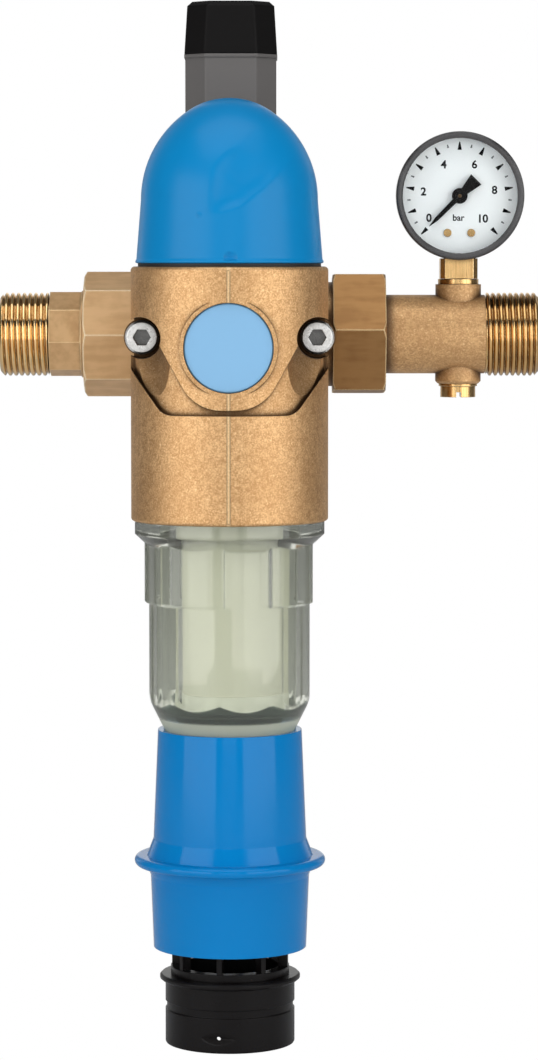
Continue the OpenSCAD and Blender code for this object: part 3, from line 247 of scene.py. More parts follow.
class Effects:
    """Shader node groups that several finishes share; each puts out Colour, Rough and Normal."""

    OUTPUTS = {"Color": "Colour", "Float": "Rough", "Vector": "Normal"}

    @staticmethod
    def end(graph: Graph, colour: Socket, rough: Socket, bump: dict[str, object]) -> Tree:
        """Ends a group with its bump and its outputs.

        Args:
            graph: Graph of the group.
            colour: Colour that goes out.
            rough: Roughness that goes out.
            bump: Inputs of the bump node whose normal goes out.

        Returns:
            The node group.
        """
        normal = graph.add("ShaderNodeBump", bump).outputs[0]
        graph.add("NodeGroupOutput", {"Colour": colour, "Rough": rough, "Normal": normal})
        return graph.tree

    @staticmethod
    def wear_and_painted_shade(graph: Graph, base: Socket, rounded: Socket, got: dict[str, Socket]) -> Socket:
        """Brightens worn corners and paints shade into crevices.

        Args:
            graph: Graph of the group.
            base: Colour to change.
            rounded: Normal with rounded corners.
            got: The group's inputs, with the Worn colour, the colour of the painted crevice shade and the Reach of that
                shade.

        Returns:
            The changed colour's socket.
        """
        flat = graph.add("ShaderNodeNewGeometry").outputs["True Normal"]
        same = graph.add("ShaderNodeVectorMath", {0: flat, 1: rounded}, operation="DOT_PRODUCT").outputs["Value"]
        corner = graph.math("MULTIPLY", graph.ramp(same, 0.995, 0.94), 0.9)
        # Painted shade: crevices and sockets that ambient occlusion finds turn towards the dark shade colour.
        near = graph.add("ShaderNodeAmbientOcclusion", {"Distance": got["Reach"]}, samples=6).outputs["AO"]
        shade = graph.math("MULTIPLY", graph.ramp(near, 0.8, 0.3), 0.85)
        return graph.mix(shade, graph.mix(corner, base, got["Worn"]), got["Deep"])

    @staticmethod
    @cache
    def cast_skin() -> Tree:
        """Grainy skin of a tumbled casting, with painted glints, a painted highlight down the front parting line and
        painted shade in crevices and scoops.

        Returns:
            The node group.
        """
        inputs = {"Color": "Light Dark Glint Deep", "Float": "Grain Depth Edge Rough Ridge Reach"}
        graph, got = Graph.group("cast_skin", "Shader", inputs, Effects.OUTPUTS)
        place = graph.add("ShaderNodeTexCoord").outputs["Object"]
        grain = graph.noise(place, got["Grain"], 3.0, 0.65)
        coarse = graph.noise(place, 420.0, 3.0)
        patch = graph.noise(place, 45.0)
        tone = graph.math("ADD", graph.math("MULTIPLY", grain, 0.7), graph.math("MULTIPLY", coarse, 0.3))
        base = graph.mix(graph.ramp(tone, *TONE), got["Dark"], got["Light"])
        soft = graph.mix(graph.math("MULTIPLY", graph.ramp(patch, 0.4, 0.7), 0.3), base, got["Dark"])
        # Painted glints: bright flecks in the Glint colour where the grain is high.
        spark = graph.math("MULTIPLY", graph.ramp(grain, 0.6, 0.72), 0.7)
        lively = graph.mix(spark, soft, got["Glint"])
        # Painted highlight: a light stripe in the Glint colour down the parting line at the front of the body.
        axes = graph.add("ShaderNodeSeparateXYZ", {0: place})
        line = graph.ramp(graph.math("ABSOLUTE", axes.outputs[0]), 0.0011, 0.0004)
        ahead = graph.ramp(axes.outputs[1], -0.03, -0.034)
        ridge = graph.math("MULTIPLY", graph.math("MULTIPLY", line, ahead), got["Ridge"])
        with_ridge_highlight = graph.mix(ridge, lively, got["Glint"])
        # Painted shade: crevices, scoops and recesses that ambient occlusion finds turn towards the dark shade colour.
        near = graph.add("ShaderNodeAmbientOcclusion", {"Distance": got["Reach"]}, samples=8).outputs["AO"]
        shade = graph.math("MULTIPLY", graph.ramp(near, 0.97, 0.6), 0.9)
        rough = graph.math("ADD", got["Rough"], graph.math("MULTIPLY", coarse, 0.2))
        rounded = graph.add("ShaderNodeBevel", {"Radius": got["Edge"]}, samples=4).outputs[0]
        bump = {"Strength": 0.6, "Distance": got["Depth"], "Height": tone, "Normal": rounded}
        return Effects.end(graph, graph.mix(shade, with_ridge_highlight, got["Deep"]), rough, bump)

    @staticmethod
    @cache
    def turned_skin() -> Tree:
        """Fine tool marks that run round the pipe axis, with worn corners and painted shade in crevices.

        Returns:
            The node group.
        """
        inputs = {"Color": "Light Dark Worn Deep", "Float": "Rough Depth Edge Reach", "Vector": "Stretch"}
        graph, got = Graph.group("turned_skin", "Shader", inputs, Effects.OUTPUTS)
        place = graph.add("ShaderNodeTexCoord").outputs["Object"]
        lines = graph.add("ShaderNodeVectorMath", {0: place, 1: got["Stretch"]}, operation="MULTIPLY").outputs[0]
        line = graph.noise(lines, 1.0, 3.0)
        cloud = graph.noise(place, 120.0, 3.0)
        tone = graph.math("ADD", graph.math("MULTIPLY", line, 0.55), graph.math("MULTIPLY", cloud, 0.45))
        base = graph.mix(graph.ramp(tone, *TONE), got["Dark"], got["Light"])
        rough = graph.math("ADD", got["Rough"], graph.math("MULTIPLY", graph.math("SUBTRACT", cloud, 0.5), 0.2))
        rounded = graph.add("ShaderNodeBevel", {"Radius": got["Edge"]}, samples=6).outputs[0]
        bump = {"Strength": 0.5, "Distance": got["Depth"], "Height": line, "Normal": rounded}
        return Effects.end(graph, Effects.wear_and_painted_shade(graph, base, rounded, got), rough, bump)

    @staticmethod
    @cache
    def moulded_skin() -> Tree:
        """Faint mottling and orange peel of a moulded or painted face.

        Returns:
            The node group.
        """
        inputs = {"Color": "Colour", "Float": "Rough Mottle Peel Edge"}
        graph, got = Graph.group("moulded_skin", "Shader", inputs, Effects.OUTPUTS)
        place = graph.add("ShaderNodeTexCoord").outputs["Object"]
        cloud = graph.noise(place, 70.0, 3.0)
        fine = graph.noise(place, 1400.0)
        shade = graph.mix(1.0, got["Colour"], (0.72, 0.72, 0.72), "MULTIPLY")
        colour = graph.mix(graph.math("MULTIPLY", cloud, got["Mottle"]), got["Colour"], shade)
        rough = graph.math("ADD", got["Rough"], graph.math("MULTIPLY", graph.math("SUBTRACT", fine, 0.5), 0.12))
        rounded = graph.add("ShaderNodeBevel", {"Radius": got["Edge"]}, samples=4).outputs[0]
        bump = {"Strength": 0.35, "Distance": got["Peel"], "Height": fine, "Normal": rounded}
        return Effects.end(graph, colour, rough, bump)


@dataclass(frozen=True)
class Finish:
    """Base of all surface finishes."""

    name: str

    def material(self) -> Material:
        """Makes the finish's material once and then hands it out.

        Returns:
            The material.
        """
        title = f"{self.name}_finish"
        found = bpy.data.materials.get(title)
        if found is not None:
            return found
        made = bpy.data.materials.new(title)
        graph = Graph.fresh(made)
        graph.add("ShaderNodeOutputMaterial", {"Surface": self.shade(graph)})
        return made

    def shade(self, graph: Graph) -> Socket:
        """Builds the surface shader.

        Args:
            graph: Graph of the material.

        Returns:
            The shader's socket.
        """
        raise NotImplementedError


@dataclass(frozen=True)
class SkinFinish(Finish):
    """Finish on a shared node group, which the fields named in skin fill."""

    effect: ClassVar[Callable[[], Tree]]
    skin: ClassVar[str]
    plain: ClassVar[dict[str, str]]

    def shade(self, graph: Graph) -> Socket:
        """Builds the surface shader.

        Args:
            graph: Graph of the material.

        Returns:
            The shader's socket.
        """
        values = {key.capitalize(): getattr(self, key) for key in self.skin.split()}
        skin = graph.add("ShaderNodeGroup", values, node_tree=type(self).effect()).outputs
        sockets = {"Base Color": skin["Colour"], "Roughness": skin["Rough"], "Normal": skin["Normal"]}
        constants = {socket: getattr(self, key) for socket, key in self.plain.items()}
        return graph.add("ShaderNodeBsdfPrincipled", sockets | constants).outputs[0]


@dataclass(frozen=True)
class CastFinish(SkinFinish):
    """Tumbled bronze casting."""

    effect = Effects.cast_skin
    skin = "light dark glint deep grain depth edge rough ridge reach"
    plain = {"Metallic": "metallic"}

    light: Colour
    dark: Colour
    glint: Colour
    # Colour of the painted shade in crevices and scoops.
    deep: Colour
    grain: float = 1900.0
    depth: float = 0.00018
    edge: float = 0.0006
    metallic: float = 0.85
    rough: float = 0.3
    # Strength of the painted highlight down the front parting line.
    ridge: float = 0.0
    # Reach is the distance over which the painted crevice shade gathers.
    reach: float = 0.022


@dataclass(frozen=True)
class TurnedFinish(SkinFinish):
    """Machined metal with fine tool marks."""

    effect = Effects.turned_skin
    skin = "light dark worn deep stretch rough depth edge reach"
    plain = {"Metallic": "metallic"}

    light: Colour
    dark: Colour
    rough: float = 0.25
    stretch: Point = (5000.0, 60.0, 60.0)
    worn: Colour = srgb(250, 222, 172)
    # Colour of the painted shade in crevices, sockets and thread roots.
    deep: Colour = srgb(66, 42, 20)
    depth: float = 0.00005
    edge: float = 0.0004
    metallic: float = 1.0
    reach: float = 0.004


@dataclass(frozen=True)
class MouldedFinish(SkinFinish):
    """Moulded plastic, rubber or paint."""

    effect = Effects.moulded_skin
    skin = "colour rough mottle peel edge"
    plain = {"Specular IOR Level": "specular", "Coat Weight": "coat"}

    colour: Colour
    rough: float = 0.35
    mottle: float = 0.25
    peel: float = 0.00002
    edge: float = 0.0005
    specular: float = 0.5
    coat: float = 0.0


@dataclass(frozen=True)
class PaneFinish(Finish):
    """Thin clear pane that shows only its gloss."""

    tint: Colour
    ior: float = 1.18
    rough: float = 0.08

    def shade(self, graph: Graph) -> Socket:
        """Builds the surface shader.

        Args:
            graph: Graph of the material.

        Returns:
            The shader's socket.
        """
        through = graph.add("ShaderNodeBsdfTransparent", {"Color": self.tint}).outputs[0]
        gloss = graph.add("ShaderNodeBsdfGlossy", {"Roughness": self.rough}).outputs[0]
        weight = graph.add("ShaderNodeFresnel", {"IOR": self.ior}).outputs[0]
        front = graph.math("SUBTRACT", 1.0, graph.add("ShaderNodeNewGeometry").outputs["Backfacing"])
        return graph.blend(graph.math("MULTIPLY", weight, front), through, gloss)


@dataclass(frozen=True)
class BowlFinish(Finish):
    """Clear moulded bowl with a dark wavy stripe of painted shade above its frosted foot."""

    tint: Colour
    veil_colour: Colour
    # Colour of the painted shade in the wavy stripe.
    shade_band: Colour
    ior: float = 1.49
    rough: float = 0.02
    mottle: float = 0.06
    peel: float = 0.000004
    edge: float = 0.0011
    veil: float = 0.08
    glow: float = 0.35
    foot: float = 0.5
    flats: int = 9
    first_flat: float = -97.0
    wave_top: float = 0.1342
    wave_swing: float = 0.0023
    band_foot: float = 0.1265
    soft_wave: float = 0.0006
    soft_foot: float = 0.0007

    def masks(self, graph: Graph) -> tuple[Socket, Socket]:
        """Finds the stripe of painted shade under the wavy line where the flats run out, and the foot below it.

        Args:
            graph: Graph of the material.

        Returns:
            Masks of the painted shade stripe and of the foot.
        """
        place = graph.add("ShaderNodeTexCoord").outputs["Object"]
        x, y, z = graph.add("ShaderNodeSeparateXYZ", {0: place}).outputs
        angle = graph.math("SUBTRACT", graph.math("ARCTAN2", y, x), math.radians(self.first_flat))
        turn = graph.math("SINE", graph.math("MULTIPLY", angle, self.flats / 2))
        swing = graph.math("MULTIPLY", graph.math("ABSOLUTE", turn), self.wave_swing)
        wave = graph.math("SUBTRACT", self.wave_top, swing)
        under = graph.ramp(graph.math("SUBTRACT", wave, z), 0.0, self.soft_wave)
        above = graph.ramp(graph.math("SUBTRACT", z, self.band_foot), 0.0, self.soft_foot)
        foot = graph.ramp(graph.math("SUBTRACT", self.band_foot, z), -self.soft_wave, self.soft_wave)
        return graph.math("MULTIPLY", under, above), foot

    def shade(self, graph: Graph) -> Socket:
        """Builds the surface shader.

        Args:
            graph: Graph of the material.

        Returns:
            The shader's socket.
        """
        values = {"Colour": self.tint, "Rough": self.rough, "Mottle": self.mottle, "Peel": self.peel, "Edge": self.edge}
        skin = graph.add("ShaderNodeGroup", values, node_tree=Effects.moulded_skin()).outputs
        shade_band, foot = self.masks(graph)
        # Painted shade: the base colour turns dark in the wavy stripe, standing in for the dark view refracted through
        # the bowl.
        clear = graph.add("ShaderNodeBsdfPrincipled", {
            "Base Color": graph.mix(shade_band, skin["Colour"], self.shade_band), "Roughness": self.rough, "IOR": self.ior,
            "Transmission Weight": 1.0, "Normal": skin["Normal"]}).outputs[0]
        matte = graph.add("ShaderNodeBsdfDiffuse", {"Color": self.veil_colour}).outputs[0]
        glow = graph.add("ShaderNodeBsdfTranslucent", {"Color": self.veil_colour}).outputs[0]
        veil = graph.math("ADD", self.veil, graph.math("MULTIPLY", foot, self.foot))
        body = graph.blend(veil, clear, graph.blend(self.glow, matte, glow))
        through = graph.add("ShaderNodeBsdfTransparent", {"Color": self.tint}).outputs[0]
        return graph.blend(graph.add("ShaderNodeLightPath").outputs["Is Shadow Ray"], body, through)


class Finishes:
    """All finishes of the object."""

    NUT_STRETCH = (60.0, 300.0, 300.0)
    # Cast and turned finishes below carry a painted shade colour, their darkest one, for crevices, sockets and thread
    # roots; ZINC's makes its hex sockets dark.
    CAST = CastFinish("cast_bronze", srgb(224, 182, 132), srgb(184, 140, 92), srgb(246, 220, 174), srgb(58, 36, 18),
                      grain=1500.0, depth=0.00025, rough=0.38, ridge=0.4)
    TAIL_CAST = CastFinish("cast_brass", srgb(218, 175, 122), srgb(184, 140, 92), srgb(244, 218, 172), srgb(78, 52, 28),
                           grain=1300.0, depth=0.00025, metallic=0.45, rough=0.38, reach=0.006)
    NUT_IN = TurnedFinish("inlet_nut_brass", srgb(216, 175, 125), srgb(200, 158, 108), 0.4, NUT_STRETCH,
                          srgb(255, 240, 204), depth=0.00001, edge=0.0011, metallic=0.2)
    NUT_OUT = TurnedFinish("outlet_nut_brass", srgb(160, 119, 72), srgb(142, 103, 60), 0.42, NUT_STRETCH,
                           depth=0.00001, edge=0.0009, metallic=0.7)
    SHANK = TurnedFinish("shank_brass", srgb(220, 180, 130), srgb(204, 162, 113), 0.36, (300.0, 300.0, 300.0),
                         depth=0.00001, edge=0.0006, metallic=0.5)
    THREAD = TurnedFinish("thread_brass", srgb(255, 220, 164), srgb(244, 200, 138), 0.1,
                          deep=srgb(84, 50, 22), reach=0.0011)
    THREAD_OUT = TurnedFinish("outlet_thread_brass", srgb(226, 184, 124), srgb(208, 162, 102), 0.14,
                              deep=srgb(58, 34, 14), reach=0.0013)
    BRASS = TurnedFinish("machined_brass", srgb(226, 188, 130), srgb(200, 158, 102), 0.22)
    ZINC = TurnedFinish("zinc_steel", srgb(236, 235, 232), srgb(206, 205, 202), 0.28, (900.0, 900.0, 900.0),
                        srgb(252, 252, 250), srgb(16, 14, 12), metallic=0.7, reach=0.008)
    STEEL = TurnedFinish("bright_steel", srgb(205, 206, 208), srgb(165, 166, 170), 0.25, (600.0, 600.0, 3000.0),
                         srgb(240, 240, 240), srgb(30, 30, 30))
    MESH = MouldedFinish("filter_gauze", srgb(198, 197, 182), 0.5, 0.1, 0.0002)
    HOOD = MouldedFinish("hood_satin", srgb(0, 128, 189), 0.32, 0.08, 0.000008, specular=0.2)
    BLUE = MouldedFinish("sleeve_gloss", srgb(0, 123, 192), 0.1, 0.06, 0.00001, specular=0.18)
    BADGE = MouldedFinish("badge_blue", srgb(125, 177, 216), 0.22, 0.08, edge=0.0004)
    BLACK = MouldedFinish("black_satin", srgb(13, 10, 10), 0.3, 0.3, specular=0.18)
    CAP = MouldedFinish("cap_black", srgb(10, 8, 8), 0.42, 0.3, edge=0.0012, specular=0.14)
    GREY = MouldedFinish("grey_satin", srgb(94, 91, 89), 0.42, 0.2, edge=0.001)
    WHITE = MouldedFinish("white_plastic", srgb(214, 215, 204), 0.4, 0.1)
    DIAL = MouldedFinish("dial_face", srgb(252, 254, 254), 0.5, 0.04, edge=0.0001)
    INK = MouldedFinish("dial_ink", srgb(10, 10, 11), 0.6, 0.2, edge=0.00005, specular=0.1)
    GREY_INK = MouldedFinish("dial_grey_ink", srgb(92, 96, 98), 0.5, 0.2, edge=0.00005)
    BEZEL = MouldedFinish("bezel_paint", srgb(34, 32, 34), 0.16, 0.2, edge=0.0026, specular=0.7, coat=0.5)
    POINTER = MouldedFinish("pointer_black", srgb(8, 6, 6), 0.5, 0.1, specular=0.1)
    RUBBER = MouldedFinish("seal_rubber", srgb(34, 34, 34), 0.6, 0.3, 0.00005, 0.0003)
    # Its third colour is the painted shade of the wavy stripe.
    CLEAR = BowlFinish("clear_bowl", srgb(242, 244, 236), srgb(214, 217, 204), srgb(56, 68, 64))
    WINDOW = PaneFinish("gauge_glass", srgb(254, 255, 255))


def link(name: str, data: bpy.types.ID) -> Object:
    """Makes an object and links it to the scene.

    Args:
        name: Name of the object.
        data: Its mesh, curve, lamp or camera.

    Returns:
        The object.
    """
    made = bpy.data.objects.new(name, data)
    bpy.context.scene.collection.objects.link(made)
    return made


def sheet(name: str, rows: np.ndarray, smooth: float = 35.0, wrap_rows: bool = False,
          wrap_columns: bool = True) -> Object:
    """Builds a piece from a sheet of quads.

    Args:
        name: Name of the piece.
        rows: Points in millimetres, rows by columns by three.
        smooth: Largest angle that is shaded smooth, in degrees.
        wrap_rows: Whether the last row joins the first.
        wrap_columns: Whether the last column joins the first.

    Returns:
        The piece.
    """
    count, width = rows.shape[:2]
    faces = []
    for i in range(count if wrap_rows else count - 1):
        for j in range(width if wrap_columns else width - 1):
            low, high, right = i * width, (i + 1) % count * width, (j + 1) % width
            faces.append((low + j, low + right, high + right, high + j))
    mesh = bpy.data.meshes.new(name)
    mesh.from_pydata((rows * MM).reshape(-1, 3).tolist(), [], faces)
    tidy_mesh(mesh)
    return place_mesh(name, mesh, smooth)


def tidy_mesh(mesh: Mesh, weld: float = 1e-7) -> None:
    """Welds a mesh and turns its faces outward.

    Args:
        mesh: Mesh to change.
        weld: Distance under which points become one.
    """
    work = bmesh.new()
    work.from_mesh(mesh)
    bmesh.ops.remove_doubles(work, verts=work.verts, dist=weld)
    bmesh.ops.dissolve_degenerate(work, edges=work.edges, dist=weld)
    bmesh.ops.recalc_face_normals(work, faces=work.faces)
    work.to_mesh(mesh)
    work.free()


def place_mesh(name: str, mesh: Mesh, smooth: float = 35.0) -> Object:
    """Links a mesh as an object and shades it smooth up to an angle.

    Args:
        name: Name of the object.
        mesh: Mesh with its place in its vertices.
        smooth: Largest smooth angle, in degrees.

    Returns:
        The object.
    """
    stale = mesh.attributes.get("custom_normal")
    if stale is not None:
        mesh.attributes.remove(stale)
    mesh.shade_smooth()
    mesh.set_sharp_from_angle(angle=math.radians(smooth))
    return link(name, mesh)


def bake(carrier: Object) -> Mesh:
    """Bakes an object to a plain mesh and removes it.

    Args:
        carrier: Object with its modifiers.

    Returns:
        The baked mesh.
    """
    graph = bpy.context.evaluated_depsgraph_get()
    mesh = bpy.data.meshes.new_from_object(carrier.evaluated_get(graph), depsgraph=graph)
    bpy.data.objects.remove(carrier)
    return mesh


def bake_nodes(name: str, tree: Tree, values: dict[str, object]) -> Mesh:
    """Runs a geometry node tree once and bakes it to a plain mesh.

    Args:
        name: Name of the mesh.
        tree: Geometry node tree.
        values: Named inputs.

    Returns:
        The baked mesh.
    """
    carrier = link(f"{name}_carrier", bpy.data.meshes.new(f"{name}_carrier"))
    modifier = carrier.modifiers.new("nodes", "NODES")
    modifier.node_group = tree
    for item in tree.interface.items_tree:
        if item.in_out == "INPUT" and item.name in values:
            modifier[item.identifier] = values[item.name]
    carrier.update_tag()
    mesh = bake(carrier)
    mesh.name = name
    return mesh


def end_nodes(graph: Graph, shape: Socket, material: Socket) -> Tree:
    """Ends a geometry node tree with real geometry in its material.

    Args:
        graph: Graph of the tree.
        shape: Geometry, which may hold instances.
        material: Material to set.

    Returns:
        The geometry node tree.
    """
    solid = graph.add("GeometryNodeRealizeInstances", {0: shape})
    done = graph.add("GeometryNodeSetMaterial", {"Geometry": solid.outputs[0], "Material": material})
    graph.add("NodeGroupOutput", {0: done.outputs[0]})
    return graph.tree


def revolve(section: np.ndarray, columns: int) -> tuple[np.ndarray, np.ndarray, np.ndarray]:
    """Turns a section about an axis.

    Args:
        section: Radius and height of each point.
        columns: Number of points round the axis.

    Returns:
        Two coordinates across the axis and one along it, points by columns.
    """
    angle = np.linspace(0, 2 * math.pi, columns, endpoint=False)
    radius = section[:, :1]
    return radius * np.cos(angle), radius * np.sin(angle), np.repeat(section[:, 1:], columns, 1)


def finish_piece(piece: Object, look: Finish, body: Body, slot: Slot, *nodes: str) -> Object:
    """Gives a piece its material and body, and hides the CAD nodes it stands for.

    Args:
        piece: Piece to finish.
        look: Finish to apply.
        body: CAD body it rides on.
        slot: Material slot; not used.
        *nodes: CAD nodes it stands for.

    Returns:
        The piece.
    """
    piece.data.materials.clear()
    piece.data.materials.append(look.material())
    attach(piece, body.value)
    if nodes:
        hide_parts(*nodes)
    return piece


def finish_blend(piece: Object, look: Finish,
                 node: str) -> None:
    """Finishes a piece that lies between two bodies: gives it its material, bakes its place into its mesh and hides its
    CAD node.

    Args:
        piece: Piece to finish.
        look: Finish to apply.
        node: CAD node it stands for.
    """
    piece.data.materials.append(look.material())
    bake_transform(piece)
    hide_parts(node)


def dress(look: Finish, *nodes: str) -> None:
    """Dresses CAD nodes that are shown as they are.

    Args:
        look: Finish to apply.
        *nodes: Names of the nodes.
    """
    for name in nodes:
        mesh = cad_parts[name].data
        mesh.materials.clear()
        mesh.materials.append(look.material())
        for polygon in mesh.polygons:
            polygon.material_index = 0


def recut(node: str, name: str, smooth: float = 32.0, planes: Sequence[tuple[Point, Point]] = ()) -> Object:
    """Copies a CAD node's mesh as a new welded piece, cut by planes.

    Args:
        node: CAD node to copy.
        name: Name of the new piece.
        smooth: Largest smooth angle, in degrees.
        planes: Point and normal of each cut; what lies on the normal's side goes.

    Returns:
        The new piece.
    """
    work = bmesh.new()
    work.from_mesh(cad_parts[node].data)
    bmesh.ops.remove_doubles(work, verts=work.verts, dist=1e-6)
    for point, normal in planes:
        geometry = work.verts[:] + work.edges[:] + work.faces[:]
        cut = bmesh.ops.bisect_plane(work, geom=geometry, plane_co=point, plane_no=normal, clear_outer=True)
        edges = [e for e in cut["geom_cut"] if isinstance(e, bmesh.types.BMEdge)]
        bmesh.ops.triangle_fill(work, edges=edges, use_beauty=True, normal=normal)
    bmesh.ops.recalc_face_normals(work, faces=work.faces)
    mesh = bpy.data.meshes.new(name)
    work.to_mesh(mesh)
    work.free()
    return place_mesh(name, mesh, smooth)


@dataclass
class BodyCasting:
    """Cast body, connection module, badge and screws."""

    def build(self) -> None:
        """Dresses the castings and what is fixed to them."""
        dress(Finishes.CAST, "filter_body", "connection_module")
        dress(Finishes.BADGE, "badge_disc")
        dress(Finishes.ZINC, "flange_bolts")
        dress(Finishes.BRASS, "body_top_plug")
        dress(Finishes.RUBBER, "top_plug_seal", "hood_seat_ring", "flange_gasket")


@dataclass
class Hood:
    """Blue hood with its shallow leaf-shaped scallop."""

    foot_z: float = 300.9
    foot_r: float = 35.7
    skirt: float = 24.1
    arc_r: float = 40.8
    crown_r: float = 28.0
    height: float = 62.8
    wall: float = 2.2
    columns: int = 360
    steps: tuple[int, int] = (44, 12)
    lip: tuple[Pair, ...] = ((-0.5, 0.0), (0.1, 0.15), (0.3, 0.5), (0.28, 0.9), (0.0, 1.35))
    lip_top: float = 1.6
    scallop_depth: float = 2.2
    leaf_foot: Pair = (-7.0, 320.0)
    leaf_way: Pair = (0.62, 0.78)
    leaf_length: float = 42.0
    leaf_fade: float = 26.0
    left_slope: float = 4.2
    low_slope: float = 3.2
    left_edge: tuple[Pair, ...] = (
        (-7.3, 312.0), (-7.6, 320.0), (-7.5, 328.2), (-6.2, 336.5), (-2.2, 341.8), (3.4, 346.8), (10.9, 355.0))
    lower_edge: tuple[Pair, ...] = (
        (-16.0, 318.6), (-7.2, 319.0), (-2.5, 319.4), (4.7, 321.8), (13.2, 328.2), (20.1, 335.6), (25.2, 341.6),
        (30.0, 348.0))
    pip: tuple[float, float, float, float] = (-11.1, 319.0, 0.8, 0.45)
    notch: tuple[float, float, float, float] = (0.7, 302.6, 2.5, 1.1)

    def profile(self, inset: float, steps: int) -> np.ndarray:
        """Gives half of the hood's section, from its foot to its crown.

        Args:
            inset: Distance in from the outer face.
            steps: Number of points on the skirt; the dome takes twice as many.

        Returns:
            Radius and height of each point.
        """
        shoulder = self.foot_z + self.skirt
        rise = self.height - self.skirt - self.crown_r
        back = math.sqrt((self.arc_r - self.crown_r) ** 2 - rise**2)
        crown = shoulder + rise
        share = np.linspace(0, 1, steps, endpoint=False)
        lean = self.arc_r - back - self.foot_r
        skirt = np.stack([self.foot_r + lean * share - inset, self.foot_z + self.skirt * share], 1)
        meet = math.atan2(rise, back)
        turn = np.linspace(0, meet, steps, endpoint=False)
        arc = np.stack([-back + (self.arc_r - inset) * np.cos(turn), shoulder + (self.arc_r - inset) * np.sin(turn)], 1)
        turn = np.linspace(meet, math.pi / 2, steps)
        top = np.stack([(self.crown_r - inset) * np.cos(turn), crown + (self.crown_r - inset) * np.sin(turn)], 1)
        return np.concatenate([skirt, arc, top])

    @staticmethod
    def inside(edge: Sequence[Pair], x: np.ndarray, z: np.ndarray) -> np.ndarray:
        """Measures how far points lie on the right-hand side of a line of points.

        Args:
            edge: Points of the line.
            x: Widths of the points.
            z: Heights of the points.

        Returns:
            Signed distance to the line.
        """
        best = np.full(x.shape, 1e9)
        side = np.zeros(x.shape)
        for (ax, az), (bx, bz) in zip(edge, edge[1:]):
            dx, dz = bx - ax, bz - az
            share = np.clip(((x - ax) * dx + (z - az) * dz) / (dx * dx + dz * dz), 0, 1)
            gap = np.hypot(x - ax - share * dx, z - az - share * dz)
            turn = dx * (z - az) - dz * (x - ax)
            nearer = gap < best
            best = np.where(nearer, gap, best)
            side = np.where(nearer, np.sign(turn), side)
        return best * side

    def relief(self, x: np.ndarray, y: np.ndarray, z: np.ndarray) -> np.ndarray:
        """Gives the depth of the scallop and of the small marks.

        Args:
            x: Widths of the surface points.
            y: Depths of the surface points.
            z: Heights of the surface points.

        Returns:
            Distance that each point goes in.
        """
        from_left = np.maximum(-self.inside(self.left_edge, x, z), 0)
        from_low = np.maximum(self.inside(self.lower_edge, x, z), 0)
        along = (x - self.leaf_foot[0]) * self.leaf_way[0] + (z - self.leaf_foot[1]) * self.leaf_way[1]
        fade = np.clip((self.leaf_length - along) / self.leaf_fade, 0, 1) ** 1.3
        left_wall = 1 - np.exp(-((from_left / self.left_slope) ** 1.5))
        low_wall = 1 - np.exp(-((from_low / self.low_slope) ** 1.4))
        depth = self.scallop_depth * left_wall * low_wall * fade
        px, pz, radius, high = self.pip
        depth -= high * np.clip(1 - ((x - px) ** 2 + (z - pz) ** 2) / radius**2, 0, 1)
        px, pz, radius, high = self.notch
        depth += high * np.sqrt(np.clip(1 - ((x - px) ** 2 + (z - pz) ** 2) / radius**2, 0, 1)) * (z > pz - 0.6)
        return np.where(y < 0, depth, 0.0)

    def build(self) -> None:
        """Builds the hood as a closed shell."""
        outer = self.profile(0.0, self.steps[0])
        first = outer[0].copy()
        outer = np.concatenate([first + np.array(self.lip), outer[outer[:, 1] > first[1] + self.lip_top]])
        inner = self.profile(self.wall, self.steps[1])[::-1]
        section = np.concatenate([outer, inner])
        x, y, z = revolve(section, self.columns)
        depth = self.relief(x, y, z)
        depth[:4] = 0
        radius = np.maximum(section[:, :1], 1e-6)
        lean = np.clip((z - self.foot_z - self.skirt) / self.arc_r, 0, 1)
        flat = np.sqrt(1 - lean**2)
        rows = np.stack([x - depth * flat * x / radius, y - depth * flat * y / radius, z - depth * lean], -1)
        shell = sheet("hood_shell", rows, 40.0, wrap_rows=True)
        finish_piece(shell, Finishes.HOOD, Body.FILTER, Slot.BLUE, "hood")


